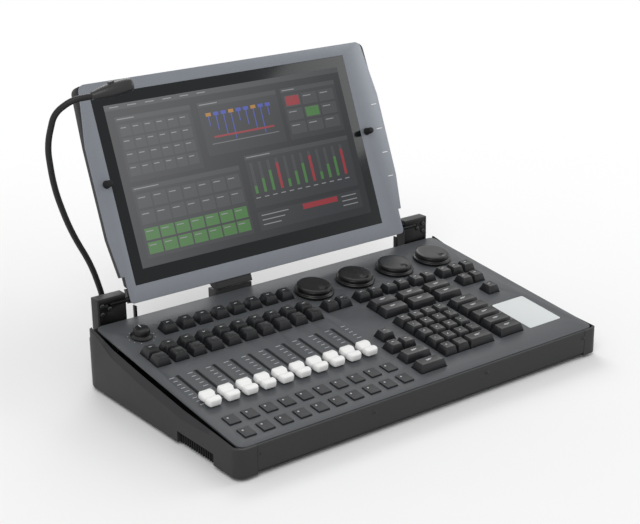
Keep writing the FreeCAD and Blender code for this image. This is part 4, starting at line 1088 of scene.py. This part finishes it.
@dataclass
class Wheels:
    """The encoder wheels and the level knob."""

    count: int = 4
    dimple: tuple[float, float] = (3.5 * MM, -13.5 * MM)
    ball_radius: float = 9 * MM
    dimple_depth: float = 1.7 * MM
    shaft: float = 3.05 * MM

    def build(self) -> None:
        """Make the wheels and the knob."""
        for number in range(1, self.count + 1):
            self.wheel(number)
        self.knob()

    def wheel(self, number: int) -> None:
        """Turn one encoder wheel, with a grooved side, a crowned face and a finger dimple.

        Args:
            number: Which wheel.
        """
        node = f"encoder_wheel_{number}"
        low, high = PANEL.box_of(node_points(node))
        hub = PANEL.inside(Vector(joint(f"encoder_{number}_turn")["pos_m"]))
        rim, top, base = (high.x - low.x) / 2, high.z, low.z
        dial = rim - 3 * MM
        wheel = turned("wheel", [
            (self.shaft, base), (rim - 0.5 * MM, base), (rim, base + 0.5 * MM), (rim, base + 2.6 * MM),
            (rim - 0.5 * MM, base + 3.2 * MM), (dial + 0.6 * MM, base + 3.4 * MM),
            (dial, base + 4.0 * MM), (dial, top - 2.4 * MM), (dial - 0.3 * MM, top - 2.1 * MM),
            (dial - 0.3 * MM, top - 1.7 * MM), (dial, top - 1.4 * MM),
            (dial - 0.2 * MM, top - 0.8 * MM), (dial - 1.2 * MM, top - 0.25 * MM),
            (dial - 3.5 * MM, top), (dial * 0.5, top - 0.25 * MM),
            (0, top - 0.4 * MM), (0, top - 2.6 * MM), (self.shaft, top - 2.6 * MM),
            (self.shaft, base)], 96)
        bpy.ops.object.select_all(action="DESELECT")
        bpy.ops.mesh.primitive_uv_sphere_add(
            segments=48, ring_count=24, radius=self.ball_radius,
            location=(*self.dimple, top + self.ball_radius - self.dimple_depth))
        ball = named("dimple_tool")
        bpy.ops.object.transform_apply(location=True, rotation=True, scale=True)
        carve(wheel, ball)
        bevel(wheel, 0.0002, 2, 25)
        smooth(wheel, 40)
        wheel.name = f"encoder_{number}_wheel"
        wheel.data.transform(Matrix.Translation((hub.x, hub.y, 0)))
        fit(wheel, node, WHEEL_BLACK, [node], PANEL)

    def knob(self) -> None:
        """Turn the level knob, with a fluted side and a white pointer."""
        low, high = PANEL.box_of(node_points("level_knob"))
        hub = PANEL.inside(Vector(joint("level_knob_turn")["pos_m"]))
        skirt, top, base = (high.x - low.x) / 2, high.z, low.z
        body = 9.6 * MM
        knob = turned("knob", [
            (self.shaft, base), (skirt - 0.2 * MM, base), (skirt, base + 0.3 * MM),
            (skirt, base + 0.9 * MM),
            (body + 1.2 * MM, base + 2.1 * MM), (body + 0.1 * MM, base + 3.1 * MM),
            (body - 0.3 * MM, top - 1.2 * MM), (body - 0.8 * MM, top - 0.4 * MM),
            (body - 1.8 * MM, top),
            (0, top - 0.1 * MM), (0, top - 2.6 * MM), (self.shaft, top - 2.6 * MM),
            (self.shaft, base)], 72)
        for vertex in knob.data.vertices:
            radius = math.hypot(vertex.co.x, vertex.co.y)
            if body - 0.9 * MM < radius < body + 0.3 * MM and vertex.co.z > base + 3 * MM:
                ripple = 1 - 0.018 * (1 + math.cos(24 * math.atan2(vertex.co.y, vertex.co.x)))
                vertex.co.x *= ripple
                vertex.co.y *= ripple
        smooth(knob, 40)
        knob.name = "level_knob_body"
        knob.data.transform(Matrix.Translation((hub.x, hub.y, 0)))
        fit(knob, "level_knob", WHEEL_BLACK, ["level_knob"], PANEL)
        pointer = block("level_knob_pointer", (hub.x - 0.45 * MM, hub.y + 2.0 * MM, top - 0.3 * MM),
                        (hub.x + 0.45 * MM, hub.y + 7.4 * MM, top + 0.02 * MM))
        fit(pointer, "level_knob", LEGEND, where=PANEL)


# ---------------------------------------------------------------------------------------------
# Display
# ---------------------------------------------------------------------------------------------
class Tint(Enum):
    """Colours of the picture on the screen."""

    GROUND = (0.016, 0.017, 0.019)
    BAR = (0.034, 0.036, 0.039)
    TILE = (0.023, 0.024, 0.027)
    LINE = (0.090, 0.092, 0.100)
    TEXT = (0.150, 0.155, 0.160)
    GREEN = (0.035, 0.105, 0.028)
    RED = (0.170, 0.018, 0.024)
    BLUE = (0.035, 0.050, 0.230)
    AMBER = (0.230, 0.110, 0.020)

    def finish(self) -> Finish:
        """The finish of this colour on the lit screen."""
        # Each screen colour glows, with a painted reflection over its upper left.
        return Finish(f"screen_{self.name.lower()}", self.value, 0.2, "screen_glass", grain_shade=0.0,
                      grain_depth=0.000001, marks=0.02, glow=0.55, painted_reflection=0.15)


@dataclass
class Screen:
    """The picture on the screen: windows, tiles and levels of no real program."""

    low: Vector
    high: Vector
    quads: list[tuple[float, float, float, float, Tint, int]] = field(default_factory=list)

    def rect(self, x: float, y: float, wide: float, tall: float, tint: Tint, layer: int = 1) -> None:
        """Add a rectangle in shares of the picture, from its upper left corner."""
        self.quads.append((x, y, wide, tall, tint, layer))

    def words(self, x: float, y: float, wide: float, tint: Tint = Tint.TEXT) -> None:
        """Add a dash that stands for a line of small print."""
        self.rect(x, y, wide, 0.006, tint, 3)

    def window(self, x: float, y: float, wide: float, tall: float) -> None:
        """Add an empty window with a title bar.

        Args:
            x: Its left edge.
            y: Its upper edge.
            wide: Its width.
            tall: Its height.
        """
        self.rect(x, y, wide, tall, Tint.TILE, 1)
        self.rect(x, y, wide, 0.028, Tint.BAR, 2)
        self.words(x + 0.008, y + 0.011, wide * 0.22)

    def tiles(self, x: float, y: float, columns: int, rows: int, wide: float, tall: float,
              tint: Tint = Tint.BAR) -> None:
        """Add a grid of tiles, each with a dash of print.

        Args:
            x: The grid's left edge.
            y: The grid's upper edge.
            columns: How many tiles across.
            rows: How many tiles down.
            wide: Step from tile to tile across.
            tall: Step from tile to tile down.
            tint: The tiles' colour.
        """
        for row in range(rows):
            for column in range(columns):
                left, top = x + column * wide, y + row * tall
                self.rect(left, top, wide * 0.9, tall * 0.84, tint, 2)
                self.words(left + wide * 0.1, top + tall * 0.18, wide * 0.45)

    def compose(self) -> None:
        """Lay out the whole picture."""
        self.rect(0, 0, 1, 0.035, Tint.BAR, 2)
        for index in range(6):
            self.words(0.02 + index * 0.07, 0.014, 0.035)
        self.window(0.03, 0.08, 0.30, 0.40)
        self.tiles(0.04, 0.13, 6, 4, 0.047, 0.082)
        self.window(0.36, 0.08, 0.34, 0.34)
        for index in range(9):
            left = 0.385 + index * 0.032
            self.rect(left, 0.15, 0.022, 0.022, Tint.BLUE if index % 3 else Tint.AMBER, 3)
            self.rect(left + 0.008, 0.172, 0.004, 0.06 + 0.035 * (index % 4), Tint.BLUE, 2)
        self.rect(0.40, 0.30, 0.26, 0.012, Tint.RED, 3)
        self.rect(0.385, 0.345, 0.29, 0.006, Tint.LINE, 3)
        self.window(0.72, 0.08, 0.25, 0.34)
        self.tiles(0.73, 0.13, 3, 3, 0.078, 0.09)
        self.rect(0.735, 0.135, 0.06, 0.062, Tint.RED, 3)
        self.rect(0.813, 0.225, 0.06, 0.062, Tint.GREEN, 3)
        self.window(0.03, 0.51, 0.44, 0.44)
        self.tiles(0.04, 0.56, 7, 2, 0.061, 0.1)
        self.tiles(0.04, 0.77, 7, 2, 0.061, 0.085, Tint.GREEN)
        self.window(0.50, 0.46, 0.47, 0.34)
        for index in range(12):
            left, level = 0.515 + index * 0.037, 0.05 + 0.04 * ((index * 5) % 4)
            self.rect(left, 0.51, 0.012, 0.2, Tint.BAR, 2)
            self.rect(left, 0.71 - level, 0.012, level, Tint.RED if index % 4 == 3 else Tint.GREEN, 3)
            self.words(left - 0.004, 0.735, 0.02)
        self.rect(0.50, 0.83, 0.47, 0.12, Tint.TILE, 1)
        self.rect(0.70, 0.84, 0.16, 0.035, Tint.RED, 3)
        for index in range(3):
            self.words(0.515, 0.85 + index * 0.03, 0.12 - 0.02 * index)
            self.words(0.88, 0.85 + index * 0.03, 0.07)

    def build(self) -> None:
        """Make the picture as one thin piece just proud of the glass."""
        self.rect(0, 0, 1, 1, Tint.GROUND, 0)
        self.compose()
        tints = list(Tint)
        vertices, faces, colours = [], [], []
        wide, tall = self.high.x - self.low.x, self.high.y - self.low.y
        for x, y, w, h, tint, layer in self.quads:
            z = self.high.z + (0.00002 + 0.00002 * layer)
            left, right = self.low.x + x * wide, self.low.x + (x + w) * wide
            upper, lower = self.high.y - y * tall, self.high.y - (y + h) * tall
            start = len(vertices)
            vertices += [(left, lower, z), (right, lower, z), (right, upper, z), (left, upper, z)]
            faces.append(tuple(range(start, start + 4)))
            colours.append(tints.index(tint))
        mesh = bpy.data.meshes.new("screen_picture")
        mesh.from_pydata(vertices, [], faces)
        piece = bpy.data.objects.new("screen_picture", mesh)
        bpy.context.scene.collection.objects.link(piece)
        for tint in tints:
            mesh.materials.append(tint.finish().material())
        for face, colour in zip(mesh.polygons, colours):
            face.material_index = colour
        fit(piece, "display", GLASS_BLACK, where=DISPLAY, keep_materials=True)


@dataclass
class Display:
    """The folding touch display."""

    screen_low: tuple[float, float] = (-180.3 * MM, 29.7 * MM)
    screen_high: tuple[float, float] = (160.3 * MM, 221.3 * MM)
    tick_rows: Sequence[float] = (70.3 * MM, 101.9 * MM, 133.6 * MM, 165.8 * MM)
    tick_span: tuple[float, float] = (201 * MM, 209.5 * MM)
    tick_half: float = 0.45 * MM
    rib_count: int = 28
    rib_pitch: float = 7 * MM
    rib_half: float = 1.6 * MM
    rib_rows: tuple[float, float] = (178 * MM, 206 * MM)
    screw_radius: float = 2.6 * MM

    def build(self) -> None:
        """Make and fit the pieces of the display."""
        refined("display_frame", "display_face_plate", DISPLAY_GREY, 0.0005, 3)
        refined("display_back", "display_rear_housing", CASE_BLACK, 0.0008, 3)
        refined("display_glass", "display_cover_glass", GLASS_BLACK, 0.0002)
        refined("cable_drum", "cable_drum_cover", CASE_BLACK, 0.0006)
        refined("hinge_arms", "hinge_arm_pair", BRACKET, 0.0003)
        dress_node("lcd_module", PART_DARK)
        face = DISPLAY.box_of(node_points("display_glass"))[1].z
        Screen(Vector((*self.screen_low, 0)), Vector((*self.screen_high, face))).build()
        self.bumpers()
        self.ticks()
        self.rear()

    def bumpers(self) -> None:
        """Turn the two rubber bumpers."""
        pieces = []
        for low, high in solids("display_bumpers", DISPLAY):
            radius, tall = (high.x - low.x) / 2, high.z - low.z
            bumper = turned("bumper", [
                (0, 0), (radius, 0), (radius, 0.0008), (radius - 0.0005, 0.0012),
                (radius - 0.001, tall - 0.0018), (radius - 0.0016, tall - 0.0006),
                (radius - 0.0028, tall), (0, tall)], 40)
            pieces.append(moved(bumper, (middle(low, high, 0), middle(low, high, 1), low.z)))
        fit_set("display_rubber_bumpers", pieces, "display", RUBBER, ["display_bumpers"], DISPLAY)

    def ticks(self) -> None:
        """Print the four short marks on the display's right margin."""
        face = DISPLAY.box_of(node_points("display_frame"))[1].z
        left, right = self.tick_span
        bars = [block("tick", (left, row - self.tick_half, face - 0.02 * MM),
                      (right, row + self.tick_half, face + 0.05 * MM)) for row in self.tick_rows]
        fit(join("display_margin_marks", bars), "display", LEGEND, where=DISPLAY)

    def rear(self) -> None:
        """Add the vent slots' ribs and a label-free service cover to the rear housing."""
        back = DISPLAY.box_of(node_points("display_back"))[0].z
        near, far = self.rib_rows
        ribs = []
        for index in range(self.rib_count):
            x = (index - (self.rib_count - 1) / 2) * self.rib_pitch
            rib = block("rib", (x - self.rib_half, near, back - 0.5 * MM),
                        (x + self.rib_half, far, back + 0.5 * MM))
            bevel(rib, 0.0004, 2)
            ribs.append(rib)
        cover = block("cover", (-60 * MM, 60 * MM, back - 0.8 * MM),
                      (60 * MM, 150 * MM, back + 0.5 * MM))
        edit_faces(cover, lambda centre, normal: normal.z < -0.9,
                   lambda: bpy.ops.mesh.inset(thickness=0.004, depth=0),
                   lambda: bpy.ops.transform.translate(value=(0, 0, 0.0004)))
        bevel(cover, 0.0006, 2)
        fit_set("display_rear_details", ribs + [cover], "display", CASE_BLACK, where=DISPLAY)
        heads = []
        corners = [(x * MM, y * MM) for x in (-54, 54) for y in (66, 144)]
        edges = [(x * MM, y * MM) for x in (-170, -60, 60, 170) for y in (24, 218)]
        for place, deep in [(spot, -0.8) for spot in corners] + [(spot, 0.0) for spot in edges]:
            head = pan_head(self.screw_radius)
            head.data.transform(Matrix.Rotation(math.pi, 4, "X"))
            heads.append(moved(head, (*place, back + deep * MM + 0.3 * MM)))
        fit_set("display_rear_screws", heads, "display", BLACK_SCREW, where=DISPLAY)


# ---------------------------------------------------------------------------------------------
# Lamp
# ---------------------------------------------------------------------------------------------
@dataclass
class Lamp:
    """The gooseneck lamp."""

    # Along the head: distance from its neck, half width, half height.
    stations: Sequence[tuple[float, float, float]] = (
        (-2, 4.4, 4.4), (2, 5.0, 4.9), (8, 6.6, 6.2), (16, 8.4, 7.8), (26, 9.3, 8.5), (36, 9.3, 8.5),
        (42.5, 8.7, 8.0), (46.6, 6.4, 6.0))
    axis_depth: float = 7.4 * MM
    dome_places: Sequence[float] = (27.5 * MM, 37 * MM)

    def head_frame(self) -> LocalFrame:
        """Work out the head's frame from its CAD solids.

        Returns:
            The frame: across is along the head, out is out of its back.
        """
        out = -Vector(joint("lamp_button_press")["axis"]).normalized()
        points = node_points("lamp_head")
        tip = max(points, key=lambda point: point.x)
        start = min(points, key=lambda point: point.x)
        rough = tip - start
        along = (rough - out * rough.dot(out)).normalized()
        turns = [Matrix.Rotation(math.radians(step / 4), 3, out) for step in range(-60, 61)]
        along = min((turn @ along for turn in turns),
                    key=lambda line: self.spread(points, out.cross(line)))
        side = out.cross(along)
        low, high = LocalFrame(Vector(), along, side, out).box_of(points)
        origin = along * low.x + side * middle(low, high, 1) + out * (high.z - self.axis_depth)
        return LocalFrame(origin, along, side, out)

    @staticmethod
    def spread(points: Sequence[Vector], line: Vector) -> float:
        """How far points reach along a line."""
        reach = [point.dot(line) for point in points]
        return max(reach) - min(reach)

    def build(self) -> None:
        """Make and fit the lamp's pieces."""
        head = self.head_frame()
        dress_node("lamp_gooseneck", SLEEVE)
        self.shell(head)
        self.lens(head)
        self.button(head)
        refined("lamp_plug", "lamp_elbow_plug", SOCKET_BLACK, 0.0008, 3)

    def shell(self, head: LocalFrame) -> None:
        """Loft the head over its stations, smooth it and cut the diodes' hollow.

        Args:
            head: The head's frame.
        """
        bpy.ops.object.select_all(action="DESELECT")
        first = self.stations[0]
        bpy.ops.mesh.primitive_circle_add(vertices=16, radius=1, fill_type="NGON")
        shell = named("lamp_head_shell")
        shell.data.transform(Matrix.Rotation(math.radians(90), 4, "Y"))
        shell.data.transform(Matrix.Diagonal((1, first[1] * MM, first[2] * MM, 1)))
        shell.data.transform(Matrix.Translation((first[0] * MM, 0, 0)))
        select_only(shell)
        bpy.ops.object.mode_set(mode="EDIT")
        bpy.ops.mesh.select_all(action="SELECT")
        for before, after in zip(self.stations, self.stations[1:]):
            bpy.ops.mesh.extrude_region_move(
                TRANSFORM_OT_translate={"value": ((after[0] - before[0]) * MM, 0, 0)})
            bpy.ops.transform.resize(value=(1, after[1] / before[1], after[2] / before[2]),
                                     center_override=(after[0] * MM, 0, 0))
        bpy.ops.mesh.select_all(action="SELECT")
        bpy.ops.mesh.normals_make_consistent(inside=False)
        bpy.ops.object.mode_set(mode="OBJECT")
        apply_modifier(shell, "SUBSURF", levels=2, render_levels=2)
        well = block("well", (21 * MM, -5.7 * MM, -14 * MM), (44 * MM, 5.7 * MM, -3.6 * MM))
        bevel(well, 0.0015, 3)
        carve(shell, well)
        smooth(shell, 40)
        fit(shell, "lamp", LAMP_GREY, ["lamp_head"], head)

    def lens(self, head: LocalFrame) -> None:
        """Set two diode domes on a dark plate in the hollow.

        Args:
            head: The head's frame.
        """
        plate = block("lamp_diode_plate", (22.2 * MM, -5.4 * MM, -4.6 * MM),
                      (42.3 * MM, 5.4 * MM, -3.3 * MM))
        bevel(plate, 0.0003, 2)
        fit(plate, "lamp", PART_DARK, where=head)
        domes = []
        for x in self.dome_places:
            dome = turned("dome", [(0, -3.2 * MM), (2.6 * MM, -3.2 * MM), (2.5 * MM, -5.0 * MM),
                                   (1.9 * MM, -6.0 * MM), (1.0 * MM, -6.5 * MM), (0, -6.7 * MM)], 32)
            domes.append(moved(dome, (x, 0, 0)))
        fit_set("lamp_diode_lenses", domes, "lamp", LENS, ["lamp_lens"], head, 60)

    def button(self, head: LocalFrame) -> None:
        """Make the small sliding thumb tab on the head's back.

        Args:
            head: The head's frame.
        """
        low, high = head.box_of(node_points("lamp_button"))
        tab = block("lamp_thumb_button", low, high)
        edit_faces(tab, facing_up, lambda: bpy.ops.transform.resize(value=(0.8, 0.72, 1)))
        bevel(tab, 0.0007, 3)
        smooth(tab)
        fit(tab, "lamp_button", LAMP_GREY, ["lamp_button"], head)


# ---------------------------------------------------------------------------------------------
# Stage
# ---------------------------------------------------------------------------------------------
@dataclass
class Studio:
    """The floor, the lights and the camera."""

    camera_place: Point = (-0.92097, -1.22697, 0.66411)
    camera_turn: Point = (70.688, 0.697, -37.659)
    lens: float = 79.0
    sensor: float = 36.0
    floor_size: float = 24.0
    floor_white: float = 0.86
    fade_start: float = 0.35
    fade_end: float = 1.3
    room_light: float = 0.55

    def build(self) -> None:
        """Set up the whole stage."""
        self.camera()
        self.floor()
        self.world()
        self.area("key_light", (-1.6, -1.5, 2.3), (0, 0, 0.1), 1.6, 38)
        self.area("rear_light", (0.9, 1.9, 1.9), (0, 0.1, 0.15), 1.6, 26)
        self.area("side_light", (2.2, -0.7, 1.2), (0, 0, 0.1), 1.2, 14)
        bpy.context.scene.view_settings.view_transform = "Standard"

    def camera(self) -> None:
        """Place the camera."""
        data = bpy.data.cameras.new("camera")
        data.lens, data.sensor_width = self.lens, self.sensor
        seen = bpy.data.objects.new("camera", data)
        seen.location = self.camera_place
        seen.rotation_euler = [math.radians(angle) for angle in self.camera_turn]
        bpy.context.scene.collection.objects.link(seen)
        bpy.context.scene.camera = seen

    def area(self, name: str, place: Point, aim: Point, width: float, power: float) -> None:
        """Add a soft area light.

        Args:
            name: Its name.
            place: Where it stands.
            aim: The point that it looks at.
            width: Its width.
            power: Its power in watts.
        """
        data = bpy.data.lights.new(name, "AREA")
        data.size, data.energy = width, power
        light = bpy.data.objects.new(name, data)
        light.location = place
        light.rotation_euler = (Vector(aim) - Vector(place)).to_track_quat("-Z", "Y").to_euler()
        bpy.context.scene.collection.objects.link(light)

    def bright_ray(self, tree: bpy.types.NodeTree) -> bpy.types.NodeSocket:
        """Add up the rays that see the backdrop: camera, glossy and transmission rays.

        Args:
            tree: The tree that the nodes join.

        Returns:
            A socket that is 1 for those rays.
        """
        path = tree.nodes.new("ShaderNodeLightPath")
        total = path.outputs["Is Camera Ray"]
        for name in ("Is Glossy Ray", "Is Transmission Ray"):
            total = maths(tree, "MAXIMUM", total, path.outputs[name])
        return total

    def floor(self) -> None:
        """Lay the pale floor, which keeps the desk's shadow."""
        bpy.ops.object.select_all(action="DESELECT")
        bpy.ops.mesh.primitive_plane_add(size=self.floor_size, location=(0, 0, 0))
        floor = named("studio_floor")
        material = bpy.data.materials.new("studio_floor")
        material.use_nodes = True
        shader = material.node_tree.nodes["Principled BSDF"]
        shader.inputs["Base Color"].default_value = (*[self.floor_white] * 3, 1)
        shader.inputs["Roughness"].default_value = 0.9
        shader.inputs["Specular IOR Level"].default_value = 0.1
        self.fade(material, shader)
        floor.data.materials.append(material)

    def fade(self, material: bpy.types.Material, shader: bpy.types.Node) -> None:
        """Let the floor pass into the white backdrop far from the desk.

        Args:
            material: The floor's material.
            shader: Its surface shader.
        """
        tree = material.node_tree
        nodes, link = tree.nodes, tree.links.new
        place, away = nodes.new("ShaderNodeTexCoord"), nodes.new("ShaderNodeVectorMath")
        away.operation = "LENGTH"
        link(place.outputs["Object"], away.inputs[0])
        distance = soft_step(tree, away.outputs["Value"], self.fade_start, self.fade_end)
        share = maths(tree, "MULTIPLY", distance, self.bright_ray(tree))
        white, mix = nodes.new("ShaderNodeEmission"), nodes.new("ShaderNodeMixShader")
        link(share, mix.inputs["Fac"])
        link(shader.outputs[0], mix.inputs[1])
        link(white.outputs[0], mix.inputs[2])
        link(mix.outputs[0], nodes["Material Output"].inputs["Surface"])

    def world(self) -> None:
        """Light the stage evenly, with a white backdrop."""
        world = bpy.data.worlds.new("studio")
        bpy.context.scene.world = world
        world.use_nodes = True
        tree = world.node_tree
        back = tree.nodes["Background"]
        back.inputs["Color"].default_value = (1, 1, 1, 1)
        mix = tree.nodes.new("ShaderNodeMapRange")
        mix.inputs["To Min"].default_value = self.room_light
        tree.links.new(self.bright_ray(tree), mix.inputs["Value"])
        tree.links.new(mix.outputs["Result"], back.inputs["Strength"])


def main() -> None:
    """Build the stage and every sub-assembly."""
    for part in (Studio(), Case(), Keyboard(), Faders(), Wheels(), Display(), Lamp()):
        part.build()
        LOG.info("%s done", type(part).__name__)


if __name__ == "__main__":
    main()
